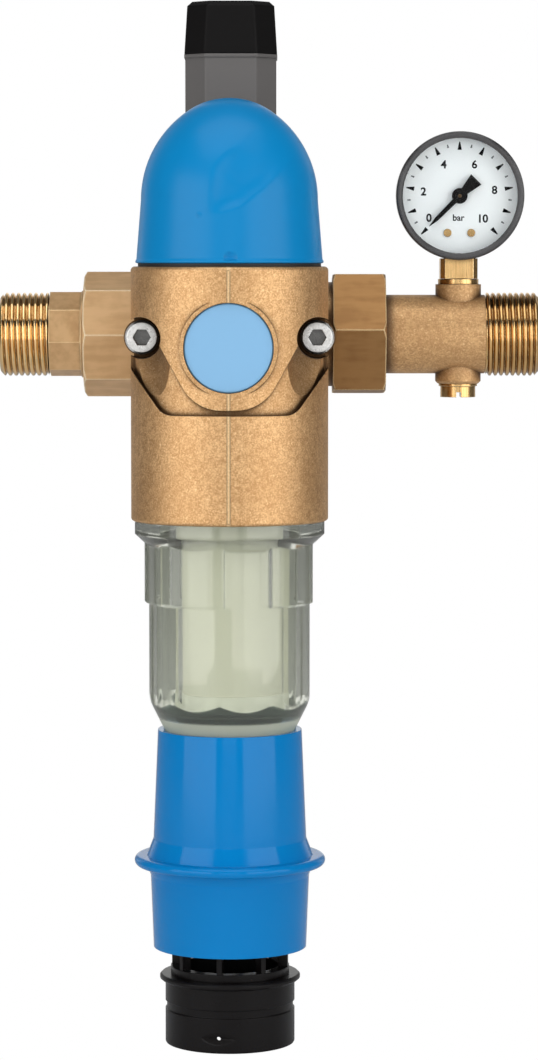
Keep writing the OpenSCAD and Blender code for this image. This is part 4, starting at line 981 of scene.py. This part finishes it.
@dataclass
class PipeTrain:
    """Unions, tailpieces, threads, check valve and test plug."""

    axis_y: float = 63.5
    axis_z: float = 272.6
    bore: float = 12.0
    crest: float = 16.6
    pitch: float = 2.309
    depth: float = 1.2
    sharpness: float = 1.9
    tip_drop: float = 1.6
    tip_slope: float = 1.1
    run_out: float = 0.7
    columns: int = 120
    rows_per_turn: int = 12

    def thread(self, name: str, start: float, end: float, tip_at_end: bool) -> Object:
        """Builds a threaded tube along X.

        Args:
            name: Name of the piece.
            start: Lower X of the thread.
            end: Upper X of the thread.
            tip_at_end: Whether the open end is at the upper X.

        Returns:
            The threaded tube.
        """
        angle = np.linspace(0, 2 * math.pi, self.columns, endpoint=False)
        x = np.linspace(start, end, int((end - start) / self.pitch * self.rows_per_turn))
        grid_x, grid_a = np.meshgrid(x, angle, indexing="ij")
        phase = (grid_x / self.pitch - grid_a / (2 * math.pi)) % 1.0
        tooth = (0.5 - 0.5 * np.cos(2 * math.pi * phase)) ** self.sharpness
        radius = self.crest - self.depth * tooth
        from_tip = (end - grid_x) if tip_at_end else (grid_x - start)
        radius = np.minimum(radius, self.crest - self.tip_drop + from_tip * self.tip_slope)
        from_root = (grid_x - start) if tip_at_end else (end - grid_x)
        radius = np.where(from_root < self.run_out, np.minimum(radius, self.crest - self.depth), radius)
        outer = np.stack([grid_x, self.axis_y + radius * np.cos(grid_a), self.axis_z + radius * np.sin(grid_a)], -1)
        inner = outer[::-1].copy()
        inner[..., 1] = self.axis_y + self.bore * np.cos(grid_a)
        inner[..., 2] = self.axis_z + self.bore * np.sin(grid_a)
        piece = sheet(name, np.concatenate([outer, inner[[0, -1]]]), 50.0, wrap_rows=True)
        LOG.info("%s: %d faces", name, len(piece.data.polygons))
        return piece

    def build(self) -> None:
        """Builds the threads and dresses the rest."""
        cuts = (
            ("inlet_tailpiece", -91.9, -72.0, False, ((-72.2 * MM, 0, 0), (-1, 0, 0)), Finishes.SHANK, Finishes.THREAD),
            ("outlet_tailpiece", 101.0, 122.5, True, ((101.1 * MM, 0, 0), (1, 0, 0)), Finishes.TAIL_CAST,
             Finishes.THREAD_OUT),
        )
        for node, start, end, at_end, plane, look, thread_look in cuts:
            thread = self.thread(f"{node}_thread", start, end, at_end)
            finish_piece(thread, thread_look, Body.FILTER, Slot.BRASS, node)
            finish_piece(recut(node, f"{node}_shank", planes=[plane]), look, Body.FILTER, Slot.BRASS, node)
        dress(Finishes.NUT_IN, "inlet_union_nut")
        dress(Finishes.NUT_OUT, "outlet_union_nut")
        dress(Finishes.BRASS, "test_plug", "gauge_stem")
        dress(Finishes.BRASS, "test_plug_seal", "gauge_stem_seal")
        dress(Finishes.RUBBER, "inlet_gasket", "outlet_gasket")
        dress(Finishes.WHITE, "check_valve_housing")
        dress(Finishes.BLACK, "check_valve_poppet")


@dataclass
class Gauge:
    """Pressure gauge with its printed dial."""

    centre_x: float = 90.7
    centre_z: float = 327.5
    face_y: float = 56.0
    hub_y: float = 53.6
    pin_r: float = 0.75
    pin_columns: int = 32
    cap_share: float = 1.36
    ink: float = 0.02
    numbers: dict[str, tuple[float, float, float, float]] = field(default_factory=lambda: {
        "0": (-12.1, -8.8, 3.2, 0.13), "2": (-14.3, 1.6, 3.2, 0.13), "4": (-6.3, 12.3, 3.2, 0.13),
        "6": (5.9, 12.3, 3.2, 0.13), "8": (13.9, 2.2, 3.2, 0.13), "10": (9.2, -9.1, 3.2, 0.13),
        "bar": (-0.4, -8.7, 2.6, 0.08)})

    def marks_tree(self) -> Tree:
        """Builds the node tree that sets tapered marks round an arc.

        Returns:
            The geometry node tree.
        """
        numbers = "Count Inner Length Wide Narrow Thick First Sweep"
        inputs = {"Geometry": "Geometry", "Float": numbers, "Material": "Ink"}
        graph, got = Graph.group("dial_marks", "Geometry", inputs, {"Geometry": "Geometry"})
        cone = graph.add("GeometryNodeMeshCone", {"Vertices": 4, "Radius Top": got["Narrow"],
                                                  "Radius Bottom": got["Wide"], "Depth": got["Length"]})
        index = graph.add("GeometryNodeInputIndex").outputs[0]
        share = graph.math("DIVIDE", index, graph.math("SUBTRACT", got["Count"], 1.0))
        angle = graph.math("SUBTRACT", got["First"], graph.math("MULTIPLY", share, got["Sweep"]))
        across = (graph.math("MULTIPLY", graph.math(way, angle), got["Inner"]) for way in ("COSINE", "SINE"))
        place = graph.add("ShaderNodeCombineXYZ", dict(enumerate(across))).outputs[0]
        spots = graph.add("GeometryNodePoints", {"Count": got["Count"], "Position": place})
        turn = graph.add("ShaderNodeCombineXYZ", {1: math.pi / 2, 2: angle}).outputs[0]
        flat = graph.add("ShaderNodeCombineXYZ", {0: got["Thick"], 1: 1.0, 2: 1.0}).outputs[0]
        square = graph.add("GeometryNodeTransform", {"Geometry": cone.outputs[0], "Rotation": (0.0, 0.0, math.pi / 4)})
        thin = graph.add("GeometryNodeTransform", {"Geometry": square.outputs[0], "Scale": flat})
        marks = graph.add("GeometryNodeInstanceOnPoints", {"Points": spots.outputs[0], "Instance": thin.outputs[0],
                                                           "Rotation": turn})
        return end_nodes(graph, marks.outputs[0], got["Ink"])

    def marks(self, name: str, tree: Tree, values: dict[str, object]) -> Object:
        """Runs the mark tree and bakes it to a plain mesh on the dial.

        Args:
            name: Name of the piece.
            tree: Geometry node tree.
            values: Named inputs.

        Returns:
            The baked piece.
        """
        mesh = bake_nodes(name, tree, values)
        self.onto_dial(mesh)
        return place_mesh(name, mesh)

    def onto_dial(self, mesh: Mesh) -> None:
        """Stands a flat drawing up on the dial's face.

        Args:
            mesh: Mesh drawn in X and Y about the dial's centre.
        """
        centre = (self.centre_x * MM, self.face_y * MM, self.centre_z * MM)
        mesh.transform(Matrix.Translation(centre) @ Matrix.Rotation(math.pi / 2, 4, "X"))

    def print_words(self) -> None:
        """Sets the numbers and the unit on the dial."""
        for text, (x, z, height, weight) in self.numbers.items():
            curve = bpy.data.curves.new(f"dial_{text}", "FONT")
            curve.body = text
            curve.align_x, curve.align_y = "CENTER", "CENTER"
            curve.size = height * self.cap_share * MM
            curve.extrude = self.ink * MM
            curve.offset = weight * MM
            mesh = bake(link(f"dial_{text}", curve))
            tidy_mesh(mesh)
            mesh.transform(Matrix.Translation((x * MM, z * MM, self.ink * MM)))
            self.onto_dial(mesh)
            finish_piece(place_mesh(f"dial_print_{text}", mesh), Finishes.INK, Body.FILTER, Slot.GAUGE)

    def pin(self) -> Object:
        """Builds the small pin in the pointer's hub.

        Returns:
            The piece.
        """
        wide = self.pin_r
        section = np.array([(0.0, 0.1), (wide, 0.1), (wide, -0.15), (wide * 0.7, -0.25), (0.0, -0.25)])
        x, z, y = revolve(section, self.pin_columns)
        return sheet("pointer_pin", np.stack([self.centre_x + x, self.hub_y + y, self.centre_z + z], -1))

    def build(self) -> None:
        """Dresses the gauge and prints its dial."""
        tree = self.marks_tree()
        start, sweep = math.radians(225), math.radians(270)
        major = {"Count": 11, "Inner": 18.2 * MM, "Length": 3.2 * MM, "Wide": 1.2 * MM, "Narrow": 0.32 * MM,
                 "Thick": 0.035, "First": start, "Sweep": sweep, "Ink": Finishes.INK.material()}
        minor = {"Count": 10, "Inner": 19.5 * MM, "Length": 1.3 * MM, "Wide": 0.5 * MM, "Narrow": 0.3 * MM,
                 "Thick": 0.08, "First": start - sweep / 20, "Sweep": sweep * 0.9, "Ink": Finishes.GREY_INK.material()}
        finish_piece(self.marks("dial_major_marks", tree, major), Finishes.INK, Body.FILTER, Slot.GAUGE)
        finish_piece(self.marks("dial_minor_marks", tree, minor), Finishes.GREY_INK, Body.FILTER, Slot.GAUGE)
        self.print_words()
        dress(Finishes.BEZEL, "gauge_case", "gauge_bezel")
        dress(Finishes.WINDOW, "gauge_window")
        dress(Finishes.DIAL, "gauge_dial")
        dress(Finishes.BRASS, "dial_screws", "gauge_movement", "bourdon_tube")
        dress(Finishes.POINTER, "gauge_pointer")
        finish_piece(self.pin(), Finishes.NUT_OUT, Body.POINTER, Slot.BRASS)


@dataclass
class Reducer:
    """Spring housing, cap and the pressure reducer inside."""

    axis_y: float = 63.5
    low: float = 288.6
    high: float = 290.1
    radii: tuple[float, float, float, float] = (2.6, 11.6, 12.6, 15.9)
    play: float = 0.05
    columns: int = 96

    def ring(self, name: str, inner: float, outer: float) -> Object:
        """Builds one ring of the diaphragm.

        Args:
            name: Name of the piece.
            inner: Inner radius.
            outer: Outer radius.

        Returns:
            The piece.
        """
        section = np.array([(inner, self.low), (outer, self.low), (outer, self.high), (inner, self.high)])
        x, y, z = revolve(section, self.columns)
        return sheet(name, np.stack([x, self.axis_y + y, z], -1), wrap_rows=True)

    def membrane(self) -> None:
        """Builds the diaphragm: clamped rim, middle on the valve, and a fold ring that lies between them."""
        hole, fold_in, fold_out, rim = self.radii
        middle = self.ring("diaphragm_middle", hole, fold_in)
        finish_piece(middle, Finishes.RUBBER, Body.VALVE, Slot.RUBBER, "diaphragm")
        edge = self.ring("diaphragm_rim", fold_out, rim)
        finish_piece(edge, Finishes.RUBBER, Body.FILTER, Slot.RUBBER, "diaphragm")
        fold = self.ring("diaphragm_fold", fold_in + self.play, fold_out - self.play)
        finish_blend(fold, Finishes.RUBBER, "diaphragm")

    def build(self) -> None:
        """Dresses the reducer and builds its diaphragm."""
        self.membrane()
        dress(Finishes.GREY, "reducer_housing")
        dress(Finishes.CAP, "adjuster_cap")
        dress(Finishes.STEEL, "adjuster_spindle", "reducer_seat")
        dress(Finishes.BRASS, "spring_plate", "diaphragm_plate", "reducer_valve")


@dataclass
class Bowl:
    """Clear bowl and the filter element in it."""

    def build(self) -> None:
        """Dresses the bowl and the element."""
        dress(Finishes.CLEAR, "filter_bowl")
        dress(Finishes.RUBBER, "bowl_seal", "filter_seal")
        dress(Finishes.WHITE, "filter_cage", "filter_head", "wash_rotor")
        dress(Finishes.MESH, "filter_mesh")
        dress(Finishes.STEEL, "rotor_axle")


@dataclass
class Drain:
    """Backwash sleeve, drain valve, air-gap cage and spigot."""

    outer: float = 25.0
    bore: float = 22.6
    columns: int = 540
    lens_turn: float = -100.0
    lens_z: float = 5.7
    lens_half: Pair = (6.8, 2.3)
    lens_depth: float = 1.3
    hole_r: float = 0.8
    hole_length: float = 8.0
    hole_middle: float = 23.8
    hole_twist: float = 4.0

    def section(self) -> np.ndarray:
        """Gives the spigot's section, from its foot up the outside and down the bore.

        Returns:
            Radius and height of each point.
        """
        foot = [(self.bore, 0.0), (self.outer - 0.7, 0.0), (self.outer - 0.25, 0.15), (self.outer, 0.6)]
        plain = [(self.outer, z) for z in np.linspace(1.0, 13.2, 50)]
        groove = [(self.outer, 13.4), (self.outer - 0.6, 13.6), (self.outer - 0.6, 16.4), (self.outer, 16.6)]
        flange = [(self.outer, 24.2), (self.outer + 0.4, 24.6), (26.3, 24.6), (27.1, 25.3), (27.1, 26.3), (26.4, 27.0),
                  (self.bore, 27.0)]
        inside = [(self.bore, z) for z in np.linspace(26.0, 1.0, 40)]
        return np.array(foot + plain + groove + flange + inside)

    def spigot(self) -> Object:
        """Builds the spigot with its recess and the small hole in it.

        Returns:
            The piece.
        """
        section = self.section()
        angle = np.linspace(0, 2 * math.pi, self.columns, endpoint=False)
        radius = np.repeat(section[:, :1], self.columns, 1)
        height = np.repeat(section[:, 1:], self.columns, 1)
        turn = (angle - math.radians(self.lens_turn) + math.pi) % (2 * math.pi) - math.pi
        across = np.abs(turn[None, :] * self.outer) / self.lens_half[0]
        upward = np.abs(height - self.lens_z) / self.lens_half[1]
        dip = self.lens_depth * np.clip(1 - across**2 - upward, 0, 1)
        radius = np.where(radius > self.outer - 0.1, radius - dip, radius)
        rows = np.stack([radius * np.cos(angle), radius * np.sin(angle), height], -1)
        raw = sheet("drain_spigot_raw", rows, wrap_rows=True)
        facing = math.radians(self.lens_turn)
        way = Vector((math.cos(facing), math.sin(facing), 0.0))
        tool_mesh = bpy.data.meshes.new("spigot_hole")
        work = bmesh.new()
        wide = self.hole_r * MM
        bmesh.ops.create_cone(work, cap_ends=True, segments=24, radius1=wide, radius2=wide, depth=self.hole_length * MM)
        twist = Matrix.Rotation(math.radians(self.hole_twist), 4, "Z")
        stand = way.to_track_quat("Z", "Y").to_matrix().to_4x4() @ twist
        spot = way * self.hole_middle * MM + Vector((0, 0, self.lens_z * MM))
        bmesh.ops.transform(work, matrix=Matrix.Translation(spot) @ stand, verts=work.verts)
        work.to_mesh(tool_mesh)
        work.free()
        tool = link("spigot_hole", tool_mesh)
        cut = raw.modifiers.new("hole", "BOOLEAN")
        cut.operation, cut.object, cut.solver = "DIFFERENCE", tool, "EXACT"
        mesh = bake(raw)
        bpy.data.objects.remove(tool)
        tidy_mesh(mesh, 2e-6)
        return place_mesh("drain_spigot_shell", mesh, 30.0)

    def build(self) -> None:
        """Dresses the drain and builds its spigot."""
        finish_piece(self.spigot(), Finishes.BLACK, Body.FILTER, Slot.BLACK, "drain_spigot")
        dress(Finishes.BLUE, "backwash_sleeve")
        dress(Finishes.STEEL, "cross_pin")
        dress(Finishes.BRASS, "drain_valve")
        dress(Finishes.RUBBER, "drain_valve_seal")
        dress(Finishes.BLACK, "air_gap_cage")


@dataclass(frozen=True)
class Coil:
    """A coil spring, or a length of one, and what presses it."""

    name: str
    node: str
    turns: float
    mean_r: float
    wire_r: float
    along: Point
    length: Pair = (0.0, 1.0)
    joint: str = ""
    fixed_end: int = 0
    keep: float = 1.0
    ends: tuple[Body, Body] | None = None


@dataclass
class Springs:
    """Coil springs of the drain valve, check valve and reducer."""

    coils: tuple[Coil, ...] = (
        Coil("drain_spring_wire", "drain_spring", 4.0, 6.6, 0.6, UP, joint="backwash_pull", keep=0.344),
        Coil("check_spring_wire", "check_valve_spring", 3.0, 5.4, 0.45, (1.0, 0.0, 0.0), joint="check_open",
             fixed_end=1, keep=0.396),
        Coil("reducer_spring_lower", "reducer_spring", 3.0, 9.6, 1.6, UP, (0.0, 0.5), ends=(Body.VALVE, Body.FILTER)),
        Coil("reducer_spring_upper", "reducer_spring", 3.0, 9.6, 1.6, UP, (0.5, 1.0), ends=(Body.FILTER, Body.PLATE)),
    )

    def tree(self) -> Tree:
        """Builds the node tree that sweeps a wire along a helix.

        Returns:
            The geometry node tree.
        """
        inputs = {"Geometry": "Geometry", "Float": "Turns Mean Wire Height", "Material": "Steel"}
        graph, got = Graph.group("coil_spring", "Geometry", inputs, {"Geometry": "Geometry"})
        helix = graph.add("GeometryNodeCurveSpiral", {
            "Resolution": 48, "Rotations": got["Turns"], "Height": got["Height"], "Start Radius": got["Mean"],
            "End Radius": got["Mean"]})
        ring = graph.add("GeometryNodeCurvePrimitiveCircle", {"Resolution": 14, "Radius": got["Wire"]})
        wire = graph.add("GeometryNodeCurveToMesh", {"Curve": helix.outputs[0], "Profile Curve": ring.outputs[0],
                                                     "Fill Caps": True})
        return end_nodes(graph, wire.outputs[0], got["Steel"])

    def build(self) -> None:
        """Winds each spring between the ends of its CAD node."""
        tree = self.tree()
        for coil in self.coils:
            corners = np.array([v.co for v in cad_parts[coil.node].data.vertices])
            low, high = corners.min(0), corners.max(0)
            way = Vector(coil.along)
            middle = Vector((low + high) / 2)
            half = (Vector(high) - middle).dot(way)
            reach = half - coil.wire_r * MM
            start, end = (middle + way * reach * (2 * share - 1) for share in coil.length)
            mesh = bake_nodes(coil.name, tree, {
                "Turns": coil.turns, "Mean": coil.mean_r * MM, "Wire": coil.wire_r * MM,
                "Height": (end - start).length, "Steel": Finishes.STEEL.material()})
            spots = np.array([v.co for v in mesh.vertices])
            mesh.transform(Matrix.Translation((0.0, 0.0, -(spots[:, 2].min() + spots[:, 2].max()) / 2)))
            mesh.transform(Matrix.Translation((start + end) / 2) @ way.to_track_quat("Z", "Y").to_matrix().to_4x4())
            piece = place_mesh(coil.name, mesh, 50.0)
            if coil.ends:
                finish_blend(piece, Finishes.STEEL, coil.node)
                continue
            finish_piece(piece, Finishes.STEEL, Body.FILTER, Slot.STEEL, coil.node)
            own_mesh(piece)


@dataclass
class Lamp:
    """One soft studio lamp."""

    name: str
    place: Point
    aim: Point
    size: Pair
    power: float

    def build(self) -> None:
        """Adds the lamp."""
        data = bpy.data.lights.new(self.name, "AREA")
        data.shape = "RECTANGLE"
        data.size, data.size_y = self.size
        data.energy = self.power
        lamp = link(self.name, data)
        lamp.location = self.place
        lamp.rotation_mode = "QUATERNION"
        lamp.rotation_quaternion = (Vector(self.aim) - Vector(self.place)).to_track_quat("-Z", "Y")


@dataclass
class Studio:
    """Camera, floor, lamps and surroundings."""

    camera_place: Point = (0.0151, -1.4, 0.302)
    camera_pitch: float = 85.78
    lens: float = 124.1
    room: float = 0.15
    flag_from: Pair = (0.16, 0.24)
    flag_to: Pair = (0.5, 0.4)
    flag_dark: float = 0.66
    far_from: Pair = (0.76, 0.9)
    far_dark: float = 0.6
    facing: Pair = (0.6, 0.97)
    floor_grey: float = 0.9
    floor_z: float = -0.5
    floor_half: float = 3000.0
    lamps: list[Lamp] = field(default_factory=lambda: [
        Lamp("softbox_left", (-0.93, -0.82, 0.30), (0.0, 0.0, 0.27), (1.3, 1.15), 10.8),
        Lamp("softbox_right", (0.93, -0.82, 0.30), (0.0, 0.0, 0.27), (1.3, 1.15), 10.8),
        Lamp("front", (0.0, -1.75, 0.44), (0.0, 0.0, 0.27), (0.7, 0.85), 2.3),
        Lamp("top", (0.0, -0.36, 1.36), (0.0, 0.0, 0.25), (1.4, 1.1), 8.0),
    ])

    def white(self, name: str, shade: float) -> Material:
        """Makes a stage material that the camera sees as white.

        Args:
            name: Name of the material.
            shade: Grey of the surface for all other rays.

        Returns:
            The material.
        """
        made = bpy.data.materials.new(name)
        graph = Graph.fresh(made)
        seen = graph.add("ShaderNodeLightPath").outputs["Is Camera Ray"]
        glow = graph.add("ShaderNodeEmission", {"Color": (1.0, 1.0, 1.0), "Strength": 1.0}).outputs[0]
        matte = graph.add("ShaderNodeBsdfDiffuse", {"Color": (shade, shade, shade)}).outputs[0]
        graph.add("ShaderNodeOutputMaterial", {"Surface": graph.blend(seen, matte, glow)})
        return made

    def sky(self) -> None:
        """Sets the surroundings: white to the camera, softly shaded to everything else."""
        world = bpy.data.worlds.new("studio")
        bpy.context.scene.world = world
        graph = Graph.fresh(world)
        ray = graph.add("ShaderNodeLightPath").outputs
        heading = graph.add("ShaderNodeSeparateXYZ", {0: graph.add("ShaderNodeTexCoord").outputs["Generated"]})
        aside = graph.math("ABSOLUTE", heading.outputs[0])
        flag = graph.math("MULTIPLY", graph.ramp(aside, *self.flag_from), graph.ramp(aside, *self.flag_to))
        far = graph.math("MULTIPLY", graph.ramp(aside, *self.far_from), self.far_dark)
        panel = graph.math("SUBTRACT", 1.0, graph.math("ADD", graph.math("MULTIPLY", flag, self.flag_dark), far))
        shades = (((1.0, 1.0, 1.0), 1.0), ((1.0, 1.0, 0.98), panel), ((0.95, 0.97, 1.0), self.room))
        white, behind, room = (graph.add("ShaderNodeBackground", {"Color": colour, "Strength": strength}).outputs[0]
                               for colour, strength in shades)
        facing = graph.math("MULTIPLY", ray["Is Glossy Ray"], graph.ramp(heading.outputs[1], *self.facing))
        past = graph.blend(graph.math("MAXIMUM", ray["Is Transmission Ray"], facing), room, behind)
        graph.add("ShaderNodeOutputWorld", {"Surface": graph.blend(ray["Is Camera Ray"], past, white)})

    def floor(self) -> None:
        """Lays the floor."""
        sides = (-self.floor_half, self.floor_half)
        floor = sheet("floor", np.array([[[x, y, self.floor_z] for x in sides] for y in sides]), wrap_columns=False)
        floor.data.materials.append(self.white("floor_white", self.floor_grey))

    def build(self) -> None:
        """Sets up the studio."""
        scene = bpy.context.scene
        data = bpy.data.cameras.new("camera")
        data.lens = self.lens
        data.sensor_width = 36.0
        data.sensor_fit = "AUTO"
        data.clip_start, data.clip_end = 0.05, 20.0
        camera = link("camera", data)
        camera.location = self.camera_place
        camera.rotation_euler = (math.radians(self.camera_pitch), 0.0, 0.0)
        scene.camera = camera
        self.sky()
        self.floor()
        for lamp in self.lamps:
            lamp.build()
        scene.view_settings.view_transform = "Standard"


def main() -> None:
    """Dresses the filter and sets up its studio."""
    logging.basicConfig(level=logging.INFO, format="%(name)s: %(message)s")
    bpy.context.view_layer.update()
    for part in (BodyCasting(), Hood(), PipeTrain(), Gauge(), Reducer(), Bowl(), Drain(), Springs()):
        part.build()
        LOG.info("built %s", type(part).__name__)
    Studio().build()


if __name__ == "__main__":
    main()
